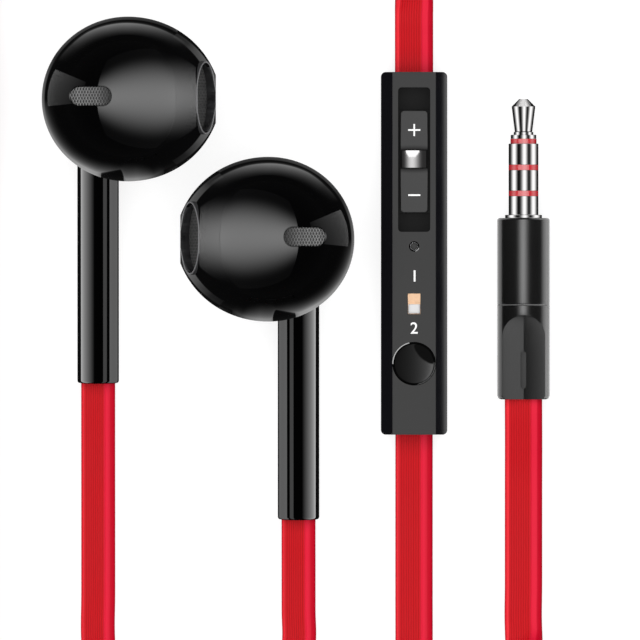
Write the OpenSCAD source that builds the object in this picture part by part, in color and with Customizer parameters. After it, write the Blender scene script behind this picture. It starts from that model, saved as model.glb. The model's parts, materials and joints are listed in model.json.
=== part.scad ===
// Pair of wired earphones lying flat on a surface, with a slim control box and a 3.5 mm plug.
// Millimetres. +Y runs up the stems, +Z away from the surface that the earphones lie on.
// The origin is on that surface, under the middle of the two earbuds.

/* [Earbud] */
// Width of a head across its widest circle
head_d = 19.36; // [19:0.02:19.6]
// Length of the rounded back of a head
head_back = 10.1; // [9.8:0.05:10.4]
// Length of the nose in front of the widest circle
head_nose = 10.35; // [10.2:0.05:10.5]
// Wall of the head shells
shell_wall = 1.1; // [1:0.05:1.2]
// Width of the stem
stem_d = 4.88; // [4.8:0.02:5]
// Distance from the head's centre to the stem's end, along the stem
stem_len = 33.35; // [32:0.05:34]
// How far the stem's axis is behind the head's centre
stem_back = 5.5; // [5:0.05:5.6]
// How far the stem's axis is to the rear of the head's widest circle
stem_side = 3.53; // [3.4:0.01:3.6]
// Half the distance between the two heads
head_x = 8.265; // [8.2:0.005:12]
// Place of the left head along the stems
left_y = 19.96; // [19:0.01:21]
// Place of the right head along the stems
right_y = 3.49; // [3:0.01:5]

/* [Nozzle and vent] */
// Length of the oval sound opening
nozzle_long = 8.2; // [7.8:0.05:8.4]
// Width of the oval sound opening
nozzle_wide = 4.12; // [3.8:0.02:4.2]
// Angle between the sound opening and the nose's axis
nozzle_tilt = 30; // [28:0.5:32]
// Length of the vent slot seen from above
vent_long = 5.0; // [4.6:0.05:5.2]
// Width of the vent slot
vent_wide = 2.3; // [2:0.05:2.4]

/* [Control box] */
// Length of the box
box_len = 42.67; // [42.4:0.01:43]
// Width of the box
box_w = 7.8; // [7.7:0.01:8]
// Height of the box
box_h = 5.6; // [5.6:0.05:5.8]
// Width of the flat face plate
plate_w = 5.0; // [4.96:0.01:5.04]
// Length of the volume slot
slot_len = 17.0; // [16.8:0.05:17.2]
// Width of the volume slot
slot_w = 3.78; // [3.7:0.01:3.85]
// Length of the volume slider
slider_len = 12.0; // [11.8:0.05:12.1]
// Width of the volume slider
slider_w = 3.2; // [3.1:0.02:3.4]
// Diameter of the call button
button_d = 4.84; // [4.7:0.02:4.88]

/* [Plug] */
// Diameter of the plug's contacts
pin_d = 3.5; // [3.5]
// Length of the plug's contacts
pin_len = 14.0; // [14]
// Diameter of the plug's grip
grip_d = 6.2; // [6.1:0.05:6.4]
// Length of the smooth front of the grip
grip_front = 10.22; // [10:0.02:10.6]
// Length of the scooped rear of the grip
grip_rear = 11.13; // [11:0.01:11.5]

/* [Cords] */
// Width of the cords to the earbuds
branch_w = 4.0; // [3.9:0.05:4.05]
// Width of the cord between control box and plug
main_w = 4.4; // [4.3:0.05:4.45]
// Width of the cord above the control box
upper_w = 4.5; // [4.4:0.05:4.55]
// Thickness of every cord
cord_t = 1.2; // [1.1:0.05:1.2]

/* [Hidden] */

smooth = 96;        // facets of a full circle on visible round work
fit = 0.02;         // gap between pieces that are pressed or glued together
slip = 0.05;        // gap round a piece that moves
head_r = head_d / 2;
stem_r = stem_d / 2;
seam_x = 1.0;       // where the two head shells meet, in front of the widest circle
spigot_r = head_r - 1.6;

// ---------- earbud ----------
// The stem leans back by this much when head and stem end both touch the surface.
rest_lean = asin(head_r / norm([stem_len, stem_back + stem_r])) - atan((stem_back + stem_r) / stem_len);
nozzle_at = [9.27, 0.12, 2.9];     // centre of the sound opening, from the head's centre
vent_at = [-4.29, 0.27];           // centre of the vent slot, from the head's centre
grille_depth = 1.15;
grille_t = 0.35;
anchor_back = 3.5;                 // the cord is held this far inside the stem's end
anchor_at = stem_len - anchor_back - 3;

function bezier(a, b, c, d, t) =
    a * pow(1 - t, 3) + b * 3 * t * pow(1 - t, 2) + c * 3 * t * t * (1 - t) + d * pow(t, 3);

// Outline of a head about its nose axis as [radius, place along the axis], moved in by g.
function head_outline(g) = concat(
    [for (a = [-90:7.5:-7.5]) [(head_r - g) * cos(a), (head_back - g) * sin(a)]],
    [for (t = [0:1 / 12:1]) bezier([head_r - g, 0], [head_r - g, 4.6], [7.1 - 0.75 * g, 8.7 - 0.7 * g],
        [2.8 - 0.4 * g, head_nose - g], t)],
    [[0, head_nose - g]]);

// Half height of the nose, seen along +Y, as [place along the axis, height], moved in by g.
function nose_outline(g) = [for (t = [0:1 / 12:1]) bezier([0, head_r - g], [4.2, head_r - g],
    [7.2 - 0.6 * g, 7.2 - 0.8 * g], [head_nose - g, 1.1], t)];

module along_x() rotate([0, 90, 0]) children();
module along_minus_y() rotate([90, 0, 0]) children();

// A head without its hollow, g smaller all round. Its nose is flatter than it is wide.
module head_body(g) {
    side = nose_outline(g);
    intersection() {
        along_x() rotate_extrude($fn = smooth) polygon(head_outline(g));
        along_minus_y() linear_extrude(height = 2 * head_d, center = true)
            polygon(concat([[-head_d, head_d], [0, head_d]], side,
                [for (i = [len(side) - 1:-1:0]) [side[i][0], -side[i][1]]],
                [[0, -head_d], [-head_d, -head_d]]));
    }
}

module at_stem() translate([-stem_side, 0, 0]) rotate([rest_lean, 0, 0])
    translate([0, 0, -stem_back]) along_minus_y() children();

module at_nozzle() translate(nozzle_at) rotate([0, 90 - nozzle_tilt, 0]) children();

// Oval post square to the sound opening, from depth a to depth b below it, grown by g.
module nozzle_oval(a, b, g) at_nozzle() translate([0, 0, -b])
    linear_extrude(height = b - a) scale([(nozzle_wide / 2 + g) / (nozzle_long / 2 + g), 1])
        circle(r = nozzle_long / 2 + g, $fn = smooth);

module vent_slot(g) translate([vent_at[0], vent_at[1], 2]) linear_extrude(height = head_d) {
    square([vent_long - vent_wide, vent_wide + 2 * g], center = true);
    for (s = [-1, 1]) translate([s * (vent_long - vent_wide) / 2, 0]) circle(d = vent_wide + 2 * g, $fn = 48);
}

// Everything behind the seam between the two shells.
module behind_seam() translate([seam_x - head_d, 0, 0]) cube(2 * head_d, center = true);

module front_shell() color([0.03, 0.03, 0.03]) difference() {
    union() {
        difference() {
            head_body(0);
            head_body(shell_wall);
        }
        // short duct behind the opening, and the ledge that the driver sits against
        difference() {
            intersection() {
                head_body(0.4);
                nozzle_oval(0.2, 2.4, 0.7);
            }
            nozzle_oval(0, 2.5, -0.45);
        }
        intersection() {
            head_body(0.4);
            translate([3.1, 0, 0]) along_x() difference() {
                cylinder(h = 0.8, r = head_r, $fn = smooth);
                translate([0, 0, -1]) cylinder(h = 3, r = 6.6, $fn = smooth);
            }
        }
    }
    nozzle_oval(-3, grille_depth + grille_t, 0);
    behind_seam();
}

module back_shell() color([0.03, 0.03, 0.03]) {
    difference() {
        intersection() {
            difference() {
                head_body(0);
                head_body(shell_wall);
            }
            behind_seam();
        }
        vent_slot(0);
        at_stem() translate([0, 0, 2.9]) cylinder(h = stem_len, r = stem_r + fit, $fn = smooth);
    }
    // spigot that centres the front shell
    translate([seam_x, 0, 0]) along_x() difference() {
        union() {
            translate([0, 0, -0.9]) cylinder(h = 0.9, r = head_r - shell_wall + 0.3, $fn = smooth);
            translate([0, 0, -0.1]) cylinder(h = 1.1, r = spigot_r, $fn = smooth);
        }
        translate([0, 0, -2]) cylinder(h = 5, r = spigot_r - 0.45, $fn = smooth);
    }
}

module stem() color([0.03, 0.03, 0.03]) difference() {
    at_stem() rotate_extrude($fn = smooth) polygon([[1.7, 3], [stem_r, 3], [stem_r, stem_len - 0.25],
        [stem_r - 0.25, stem_len], [2.1, stem_len], [2.1, anchor_at], [1.7, anchor_at]]);
    head_body(shell_wall);
}

module nozzle_grille() color([0.25, 0.25, 0.26]) nozzle_oval(grille_depth, grille_depth + grille_t, -fit);

module vent_mesh() color([0.45, 0.45, 0.46]) intersection() {
    difference() {
        head_body(0.25);
        head_body(0.6);
    }
    vent_slot(-fit);
}

module driver_frame() color([0.2, 0.2, 0.2]) translate([-0.8, 0, 0]) along_x() difference() {
    cylinder(h = 3.8, r = 7.5, $fn = smooth);
    translate([0, 0, 0.6]) cylinder(h = 4, r = 6.9, $fn = smooth);
    translate([0, 0, -1]) cylinder(h = 3, r = 2, $fn = 48);
    for (a = [0:60:300]) rotate([0, 0, a]) translate([5.6, 0, -1]) cylinder(h = 3, r = 0.7, $fn = 24);
}

module driver_magnet() color([0.6, 0.6, 0.62]) translate([-0.2, 0, 0]) along_x()
    cylinder(h = 1.6, r = 3.7, $fn = smooth);

module voice_coil() color([0.72, 0.42, 0.2]) translate([0.2, 0, 0]) along_x() difference() {
    cylinder(h = 2.0, r = 4.3, $fn = smooth);
    translate([0, 0, -1]) cylinder(h = 4, r = 3.95, $fn = smooth);
}

module diaphragm() color([0.85, 0.82, 0.7]) translate([2.2, 0, 0]) along_x()
    rotate_extrude($fn = smooth) polygon([[0, 0.5], [2, 0.38], [3.6, 0], [4.4, 0], [5.6, 0.4], [6.8, 0],
        [6.8, 0.12], [5.6, 0.52], [4.4, 0.12], [3.6, 0.12], [2, 0.5], [0, 0.62]]);

module cord_anchor() color([0.15, 0.15, 0.15]) at_stem() translate([0, 0, anchor_at])
    difference() {
        cylinder(h = 3, r = 2.1 - fit, $fn = 64);
        translate([0, 0, -1]) cylinder(h = 3, r = 0.9, $fn = 32);
    }

module left_bud() translate([-head_x, left_y, head_r]) children();
module right_bud() translate([head_x, right_y, head_r]) mirror([1, 0, 0]) children();

// ---------- control box ----------
box_x = 25.4;
box_y = 1.845;                      // middle of the box
slot_y = 12.87;
slider_y = 12.64;
grip_y = 12.93;
mic_y = 2.65;
window_y = -4.1;
window_size = [1.47, 2.41];
knob_size = [1.4, 1.1];
button_y = -11.14;
floor_t = 1.0;                      // floor of the rear shell
board_t = 0.7;
board_top = floor_t + board_t;
plate_low = 3.9;                    // underside of the face plate
flange_top = 4.5;                   // top of the face plate's wide foot
cavity_w = 5.8;
end_wall = 1.5;
lean_h = box_h - 0.15;              // top of the sloping sides
cord_slot_h = cord_t + 0.06;
cord_mid = 2.0;                     // height of the cords' middle where they leave the box

module at_box(y, z) translate([box_x, y, z]) children();
module along_box(h) rotate([90, 0, 0]) linear_extrude(height = h, center = true) children();
module rounded(size, r) {
    square([size[0] - 2 * r, size[1]], center = true);
    square([size[0], size[1] - 2 * r], center = true);
    for (i = [-1, 1], j = [-1, 1])
        translate([i * (size[0] / 2 - r), j * (size[1] / 2 - r)]) circle(r = r, $fn = 24);
}

module box_rear_shell() color([0.04, 0.04, 0.05]) difference() {
    at_box(box_y, 0) intersection() {
        along_box(box_len) polygon([[-3.1, 0], [3.1, 0], [3.7, 0.25], [box_w / 2, 0.9], [box_w / 2, 3.9],
            [plate_w / 2 + slip, lean_h], [-plate_w / 2 - slip, lean_h], [-box_w / 2, 3.9],
            [-box_w / 2, 0.9], [-3.7, 0.25]]);
        linear_extrude(height = box_h) rounded([box_w, box_len], 0.55);
    }
    // room for the works, then for the plate's foot and the plate itself
    at_box(box_y, floor_t + 2) cube([cavity_w, box_len - 2 * end_wall, 4], center = true);
    at_box(box_y, (plate_low + flange_top) / 2)
        cube([cavity_w, box_len + 2, flange_top - plate_low], center = true);
    at_box(box_y, flange_top + 1) cube([plate_w + 2 * fit, box_len + 2, 2.001], center = true);
    for (s = [[1, upper_w], [-1, main_w]]) at_box(box_y + s[0] * box_len / 2, cord_mid)
        cube([s[1] + 0.06, 2 * end_wall + 1, cord_slot_h], center = true);
}

module box_face_plate() color([0.27, 0.27, 0.27]) difference() {
    at_box(box_y, 0) intersection() {
        union() {
            translate([0, 0, plate_low + fit]) linear_extrude(height = flange_top - plate_low - 2 * fit)
                square([cavity_w - 2 * fit, box_len], center = true);
            translate([0, 0, plate_low + fit]) linear_extrude(height = box_h - plate_low - fit)
                square([plate_w, box_len], center = true);
        }
        linear_extrude(height = box_h) rounded([box_w, box_len], 0.55);
    }
    at_box(slot_y, 0) linear_extrude(height = 9) rounded([slot_w, slot_len], 0.43);
    at_box(mic_y, 0) cylinder(h = 9, d = 0.9, $fn = 32);
    at_box(window_y, 0) linear_extrude(height = 9) square(window_size, center = true);
    at_box(button_y, 0) cylinder(h = 9, d = button_d + 2 * slip, $fn = smooth);
}

module box_circuit_board() color([0.1, 0.35, 0.2]) at_box(box_y, floor_t)
    linear_extrude(height = board_t - fit) square([5.2, box_len - 2 * end_wall - 5.2], center = true);

// the cords' ends are crimped in a block at each end of the box
module box_cord_clamps() color([0.2, 0.2, 0.2]) for (s = [-1, 1])
    at_box(box_y + s * (box_len / 2 - end_wall - 1.2), 0) translate([0, 0, floor_t])
        linear_extrude(height = 1.95) square([5.2, 2.36], center = true);

module volume_potentiometer() color([0.15, 0.15, 0.16]) at_box(slider_y, board_top)
    linear_extrude(height = 1.3) square([4.6, slider_len], center = true);

module volume_slider() color([0.3, 0.3, 0.3]) {
    at_box(slider_y, 3.1) linear_extrude(height = 0.7) square([4.3, slider_len + 0.2], center = true);
    difference() {
        at_box(slider_y, 3.5) linear_extrude(height = 1.75) rounded([slider_w, slider_len], 0.36);
        // seat of the metal grip
        at_box(grip_y, 4.9) linear_extrude(height = 1) square([slider_w + 1, 2.14], center = true);
    }
}

// arched metal ridge across the slider
module volume_grip() color([0.75, 0.75, 0.77]) at_box(grip_y, 0) intersection() {
    translate([0, 0, 5.5]) cube([slider_w, 2.14 - fit, 1.16], center = true);
    translate([0, 0, 3.18]) rotate([90, 0, 0]) cylinder(h = 4, r = 2.9, center = true, $fn = smooth);
}

module microphone() color([0.7, 0.68, 0.6]) at_box(mic_y, board_top) difference() {
    cylinder(h = 2.1, d = 3.0, $fn = 48);
    translate([0, 0, 1.8]) cylinder(h = 1, d = 0.7, $fn = 24);
}

module mode_switch_frame() color([0.7, 0.7, 0.72]) at_box(window_y, board_top) difference() {
    linear_extrude(height = 1.9) square([3.4, 5.0], center = true);
    translate([0, 0, 0.5]) linear_extrude(height = 3) square([2.6, 4.2], center = true);
}

module mode_switch_base() color([0.93, 0.68, 0.5]) at_box(window_y, board_top + 0.5 + fit)
    linear_extrude(height = 1.1) square([2.6 - 2 * fit, 4.2 - 2 * fit], center = true);

knob_y = window_y - window_size[1] / 2 + 0.06 + knob_size[1] / 2;
module mode_switch_knob() color([0.8, 0.8, 0.8]) at_box(knob_y, 3.45)
    linear_extrude(height = 1.75) square(knob_size, center = true);

module call_button() color([0.02, 0.02, 0.02]) at_box(button_y, 0) rotate_extrude($fn = smooth)
    polygon(concat([[0, 3.2], [2.7, 3.2], [2.7, 3.75], [button_d / 2, 3.75], [button_d / 2, 5.55]],
        [for (a = [0:15:75]) [button_d / 2 - 0.25 + 0.25 * cos(a), 5.55 + 0.25 * sin(a)]],
        [[2.1, 5.8], [1.4, 5.68], [0.7, 5.62], [0, 5.6]]));

module button_dome_switch() color([0.7, 0.7, 0.72]) at_box(button_y, board_top) {
    linear_extrude(height = 0.9) square(4.2, center = true);
    cylinder(h = 1.2, r = 1, $fn = 48);
}

// ---------- plug ----------
plug_x = 38.28;
plug_z = grip_d / 2;
tip_y = 20.01;
pin_r = pin_d / 2;
ring_1 = [5.26, 7.74];              // ends of each contact, from the tip
ring_2 = [8.36, 10.8];
sleeve = [11.42, 13.64];
core_r = 0.6;

module from_tip() translate([plug_x, tip_y, plug_z]) along_minus_y() children();
module turned(points) from_tip() rotate_extrude($fn = smooth) polygon(points);
module pin_tube(a, b, r) turned([[core_r, a], [r, a], [r, b], [core_r, b]]);

module plug_tip() color([0.78, 0.78, 0.8]) turned([[0, 0], [0.55, 0], [1.05, 0.35], [1.39, 0.9],
    [1.39, 1.05], [1.1, 3.6], [1.02, 4.0], [1.06, 4.22], [1.46, 4.3], [1.48, 4.67], [0, 4.67]]);
module plug_ring_1() color([0.78, 0.78, 0.8]) pin_tube(ring_1[0], ring_1[1], pin_r);
module plug_ring_2() color([0.78, 0.78, 0.8]) pin_tube(ring_2[0], ring_2[1], pin_r);
module plug_sleeve() color([0.78, 0.78, 0.8]) {
    pin_tube(sleeve[0], sleeve[1], pin_r);
    pin_tube(sleeve[1], pin_len, 2.17);
    pin_tube(pin_len, pin_len + 3, neck_r);
}
module plug_insulators() color([0.75, 0.05, 0.08]) {
    turned([[core_r, 4.69], [1.55, 4.69], [pin_r, 5.1], [pin_r, ring_1[0]], [core_r, ring_1[0]]]);
    pin_tube(ring_1[1], ring_2[0], pin_r);
    pin_tube(ring_2[1], sleeve[0], pin_r);
}
module plug_core() color([0.72, 0.6, 0.3]) from_tip() translate([0, 0, 4.67])
    cylinder(h = pin_len, r = core_r - fit, $fn = 32);

grip_r = grip_d / 2;
grip_joint = pin_len + grip_front;  // where the two halves of the grip meet, from the tip
plug_len = grip_joint + grip_rear;
cord_end = plug_len - 4;            // the cord is moulded in this far from the tip

neck_r = 2.0;                       // where the contacts and the two halves of the grip join
module plug_grip_front() color([0.12, 0.12, 0.12]) turned([[neck_r + fit, pin_len],
    [grip_r - 0.2, pin_len], [grip_r, pin_len + 0.2], [grip_r, grip_joint - 0.1],
    [grip_r - 0.1, grip_joint], [neck_r + fit, grip_joint]]);

// thumb scoop: an arch-ended hollow whose floor is folded along its middle
scoop_w = 5.05;
scoop_len = 9.9;
fold_low = 1.3;
fold_rise = 0.5;
module scoop(up) {
    translate([plug_x, tip_y - plug_len, plug_z]) mirror([0, 0, up ? 0 : 1]) {
        intersection() {
            linear_extrude(height = grip_d) {
                translate([-scoop_w / 2, -1]) square([scoop_w, scoop_len + 1 - scoop_w / 2]);
                translate([0, scoop_len - scoop_w / 2]) circle(d = scoop_w, $fn = 64);
            }
            rotate([90, 0, 0]) linear_extrude(height = 60, center = true)
                polygon([[-3, 6], [-3, fold_low + fold_rise * 1.19], [0, fold_low],
                    [3, fold_low + fold_rise * 1.19], [3, 6]]);
        }
        if (up) translate([-0.34, 1.27 + 0.34, 0.75]) {
            cube([0.68, 4.4 - 0.68, 3]);
            for (y = [0, 4.4 - 0.68]) translate([0.34, y, 0]) cylinder(h = 3, r = 0.34, $fn = 24);
        }
    }
}

module plug_grip_rear() color([0.12, 0.12, 0.12]) difference() {
    turned([[0, grip_joint - 3], [neck_r, grip_joint - 3], [neck_r, grip_joint + fit],
        [grip_r - 0.1, grip_joint + fit], [grip_r, grip_joint + 0.12], [grip_r, plug_len - 0.45],
        [grip_r - 0.13, plug_len - 0.13],
        [grip_r - 0.45, plug_len], [0, plug_len]]);
    scoop(true);
    scoop(false);
    // seat of the cord
    from_tip() translate([-main_w / 2 - 0.03, -cord_slot_h / 2, cord_end])
        cube([main_w + 0.06, cord_slot_h, 9]);
}

// ---------- cords ----------
// A cord's route is a list of [x, y, z, turn]: turn 0 lies flat, turn 90 stands on its edge.
function xyz(p) = [p[0], p[1], p[2]];
function unit(v) = v / norm(v);

// Direction of a route at point i. Where it meets another route, "before" and "after" are the points
// of that route next to the joint, so that both ends are cut by the same plane.
function heading(r, i, before, after) = let (last = len(r) - 1) unit(
    xyz(i < last ? r[i + 1] : is_undef(after) ? r[last] : after)
    - xyz(i > 0 ? r[i - 1] : is_undef(before) ? r[0] : before));

// Cross-section of a flat cord with 8 or 6 sides, as [across, through].
function flat_section(w, eight) = let (a = w / 2, b = cord_t / 2, c = cord_t / 4)
    eight ? [[a, -c], [a, c], [a - c, b], [c - a, b], [-a, c], [-a, -c], [c - a, -b], [a - c, -b]]
          : [[a, 0], [a - b, b], [b - a, b], [-a, 0], [b - a, -b], [a - b, -b]];

function ring(p, t, section) = let (side = unit(cross(t, [0, 0, 1])), up = cross(side, t), turn = p[3])
    [for (s = section) xyz(p) + (side * cos(turn) + up * sin(turn)) * s[0]
        + (up * cos(turn) - side * sin(turn)) * s[1]];

module swept(r, w, eight, before, after) {
    section = flat_section(w, eight);
    n = len(section);
    last = (len(r) - 1) * n;
    polyhedron(points = [for (i = [0:len(r) - 1]) each ring(r[i], heading(r, i, before, after), section)],
        faces = concat(
            [for (i = [0:len(r) - 2], k = [0:n - 1]) [i * n + k, i * n + (k + 1) % n, (i + 1) * n + k]],
            [for (i = [0:len(r) - 2], k = [0:n - 1])
                [i * n + (k + 1) % n, (i + 1) * n + (k + 1) % n, (i + 1) * n + k]],
            [for (k = [1:n - 2]) [0, k + 1, k]],
            [for (k = [1:n - 2]) [last, last + k, last + k + 1]]));
}

// Hanks: flat cord standing on its edge, wound in to the middle on the surface and out again above.
turn_step = 2.2;                   // from one turn to the next
tie_t = 0.6;
layer_gap = 0.55;
waist = 4.6;                        // how far the tie draws the runs in
waist_reach = 10;
rings_a_loop = 24;

// [middle x, middle y, half width, half length, loops, cord width, side that the first run is on]
left_hank = [-10, -84.5, 10, 29, 2.25, branch_w, 1];
right_hank = [12, -84.5, 10, 30.5, 2.25, branch_w, -1];
main_hank = [35.2, -83.5, 11.2, 33, 2.75, main_w, -1];

function hank_in(h, u) = turn_step * (h[4] / 2 - abs(u - h[4] / 2));
function hank_low(h) = tie_t + 0.05 + h[5] / 2;
function eased(t) = let (c = max(0, min(1, t))) c * c * (3 - 2 * c);
function hank_z(h, u) = hank_low(h) + (h[5] + layer_gap) * eased((u - h[4] / 2 + 0.125) / 0.25);

// Place on one loop of half width a and straight half length s; f runs down one side and up the other.
function loop_point(a, s, f) =
    f < 0.25 ? [a, s - 8 * s * f] :
    f < 0.5 ? let (g = -720 * (f - 0.25)) [a * cos(g), a * sin(g) - s] :
    f < 0.75 ? [-a, 8 * s * (f - 0.5) - s] :
    let (g = 180 - 720 * (f - 0.75)) [a * cos(g), a * sin(g) + s];

function drawn_in(y) = waist * exp(-pow(y / waist_reach, 2));
function hank_point(h, u) = let (a = h[2] - hank_in(h, u), p = loop_point(a, h[3] - h[2], u - floor(u)))
    [h[0] + h[6] * p[0] * (1 - drawn_in(p[1]) / a), h[1] + p[1], hank_z(h, u), 90];

function hank_route(h) = [for (i = [0:round(h[4] * rings_a_loop)]) hank_point(h, i / rings_a_loop)];

function length_of(r, i = 1) = i >= len(r) ? 0 : norm(xyz(r[i]) - xyz(r[i - 1])) + length_of(r, i + 1);

// Least gap between turns that are more than half a loop apart: sideways on a layer, or up and down.
// Sideways it is the distance from each point to each straight piece of the centreline.
function beside(p, a, b) = let (d = b - a, t = max(0, min(1, (p - a) * d / (d * d)))) norm(p - a - d * t);
function flat(p) = [p[0], p[1]];
function turn_gap(h) = let (r = hank_route(h), n = len(r)) min([for (i = [0:n - 1], j = [0:n - 2])
    if (abs(j - i) > rings_a_loop / 2) max(beside(flat(r[i]), flat(r[j]), flat(r[j + 1])) - cord_t,
        min(abs(r[j][2] - r[i][2]), abs(r[j + 1][2] - r[i][2])) - h[5])]);

// The free stretches, from what each cord leaves to what it meets.
stem_end_z = head_r - stem_back * cos(rest_lean) - stem_len * sin(rest_lean);
stem_end_back = stem_len * cos(rest_lean) - stem_back * sin(rest_lean);
function stem_route(x, y) = [for (d = [anchor_back, 0, -2])
    [x, y - stem_end_back + d * cos(rest_lean), stem_end_z + d * sin(rest_lean), 0]];

left_route = concat(stem_route(-head_x - stem_side, left_y), [
    [-11.8, -19, 1.75, 0], [-11.8, -24, 1.15, 0], [-11.8, -30, 0.75, 0], [-11.8, -38, 0.62, 0],
    [-11.8, -44, 0.62, 0], [-11.5, -46.8, 1.35, 20], [-10.5, -49.3, 1.95, 45], [-8.9, -51.6, 2.3, 70],
    [-6.9, -53.7, 2.6, 90], [-4.2, -56.7, 2.65, 90], [-1.75, -60.6, 2.65, 90], [-0.4, -63.6, 2.65, 90]],
    [hank_point(left_hank, 0)]);

right_route = concat(stem_route(head_x + stem_side, right_y), [
    [11.8, -35, 1.75, 0], [11.8, -40, 1.15, 0], [11.8, -44.5, 0.85, 0], [11.2, -47.3, 1.4, 20],
    [9.9, -49.7, 2, 45], [8.2, -52.1, 2.3, 70], [6.3, -54.6, 2.6, 90], [4.3, -57.6, 2.65, 90],
    [2.7, -61, 2.65, 90]],
    [hank_point(right_hank, 0)]);

left_tail_route = concat([hank_point(left_hank, left_hank[4])], [
    [0, -106.4, 7.05, 90], [-0.6, -109.8, 6.8, 90], [-2.3, -112.8, 6, 90], [-5.8, -115.4, 4.8, 90],
    [-10, -116.4, 3.6, 90], [-13.6, -116.4, 2.8, 90], [-18, -115.2, 2.4, 90], [-21.2, -112, 2.5, 90],
    [-22.3, -109.1, 2.85, 90], [-22.4, -107, 3, 90]]);

right_tail_route = concat([hank_point(right_hank, right_hank[4])], [
    [1.6, -109.7, 6.9, 90], [-0.2, -113.4, 6.1, 90], [-3.1, -116.4, 5.1, 90], [-6.9, -118.2, 4.1, 90],
    [-10, -118.6, 3.4, 90], [-13.6, -118.6, 2.8, 90], [-19, -117.1, 2.4, 90], [-22.9, -113.2, 2.5, 90],
    [-24.2, -109.7, 2.85, 90], [-24.4, -107, 3, 90]]);

box_end_low = box_y - box_len / 2;
box_end_high = box_y + box_len / 2;
box_route = concat([for (d = [end_wall, -1]) [box_x, box_end_low + d, cord_mid, 0]], [
    [25.4, -24, 1.6, 0], [25.4, -28, 1.05, 0], [25.4, -33, 0.7, 0], [25.4, -39, 0.62, 0],
    [25.4, -45, 0.62, 0], [25.35, -47.8, 1.55, 25], [25.15, -50.6, 2.3, 55], [24.7, -53.4, 2.7, 80],
    [24.2, -56.6, 2.85, 90]],
    [hank_point(main_hank, 0)]);

plug_end_y = tip_y - cord_end;
plug_route = concat([for (d = [0, 5]) [plug_x, plug_end_y - d, plug_z, 0]], [
    [38.3, -20, 2.3, 0], [38.3, -24, 1.3, 0], [38.3, -29, 0.75, 0], [38.3, -37, 0.62, 0],
    [38.3, -42.5, 0.62, 0], [38.5, -44.8, 1.4, 20], [39.2, -46.9, 2.6, 50], [40.4, -49, 3.7, 75],
    [42, -51.3, 4.9, 90], [43.8, -53.9, 6, 90], [45.3, -56.6, 6.9, 90], [46.2, -59.2, 7.5, 90]],
    [hank_point(main_hank, main_hank[4])]);

// the same cord seen from the hank
plug_from_hank = [for (i = [len(plug_route) - 1:-1:0]) plug_route[i]];

upper_route = concat([for (d = [-end_wall, 1]) [box_x, box_end_high + d, cord_mid, 0]], [
    [25.4, 27, 1.4, 0], [25.4, 30, 0.9, 0], [25.4, 32, 1.2, 12], [25.25, 34.1, 1.75, 32],
    [24.5, 36.3, 2.25, 58], [23, 38.5, 2.4, 80], [20.5, 40.4, 2.35, 90], [17.4, 41.5, 2.3, 90],
    [13.5, 41.8, 2.3, 90], [5, 41.8, 2.3, 90], [-4, 41.8, 2.3, 90], [-10, 41.8, 2.3, 90],
    [-13.6, 41.8, 2.3, 90], [-17.6, 41, 2.3, 90], [-21, 38.7, 2.3, 90], [-23.3, 35.3, 2.3, 90],
    [-24.1, 31.3, 2.3, 90], [-24.1, 24, 2.3, 90], [-24.1, 12, 2.3, 90], [-24.1, 0, 2.3, 90],
    [-24.1, -12, 2.3, 90], [-24.1, -24, 2.3, 90], [-24.1, -36, 2.3, 90], [-24.1, -46, 2.3, 90],
    [-24, -56, 2.3, 90], [-23.8, -66, 2.3, 90], [-23.5, -75, 2.35, 90], [-23.4, -83, 2.6, 90],
    [-23.4, -91, 3, 90]]);

cord_red = [0.8, 0.07, 0.12];
function end_of(r, back = 0) = r[len(r) - 1 - back];
module hank(h, cord_in, cord_out) color(cord_red)
    swept(hank_route(h), h[5], false, end_of(cord_in, 1), cord_out[1]);
module cord(r, w, before, after) color(cord_red) swept(r, w, true, before, after);
function first_turn(h) = hank_point(h, 1 / rings_a_loop);
function last_turn(h) = hank_point(h, h[4] - 1 / rings_a_loop);

// The tie clears the runs of the hank that it is wound round, over its whole width.
tie_w = 6;
module hank_tie(h) {
    step = (h[3] - h[2]) / 3;           // between two rings of a straight run
    spread = (drawn_in(0) - drawn_in(step)) * tie_w / 2 / step;
    half = h[2] - waist + spread + cord_t / 2 + 0.2;
    high = 2 * h[5] + layer_gap + 0.2;
    color([0.08, 0.08, 0.08]) translate([h[0], h[1], 0]) rotate([90, 0, 0])
        linear_extrude(height = tie_w, center = true) difference() {
            translate([0, tie_t + high / 2]) rounded([2 * (half + tie_t), high + 2 * tie_t], 1);
            translate([0, tie_t + high / 2]) rounded([2 * half, high], 0.5);
        }
}

// Block where one flat cord becomes two; it stands on edge like the cords.
splitter_ends = [-107, -91];
module cord_splitter() color([0.05, 0.05, 0.05]) translate([-23.4, splitter_ends[1], 3])
    along_minus_y() linear_extrude(height = splitter_ends[1] - splitter_ends[0]) rounded([4.8, 6], 0.8);

echo(left_cord_mm = length_of(left_route) + length_of(hank_route(left_hank)) + length_of(left_tail_route),
    right_cord_mm = length_of(right_route) + length_of(hank_route(right_hank)) + length_of(right_tail_route),
    plug_to_box_mm = length_of(box_route) + length_of(hank_route(main_hank)) + length_of(plug_route),
    box_to_splitter_mm = length_of(upper_route));
echo(left_hank_gap = turn_gap(left_hank), right_hank_gap = turn_gap(right_hank),
    main_hank_gap = turn_gap(main_hank));

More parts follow.
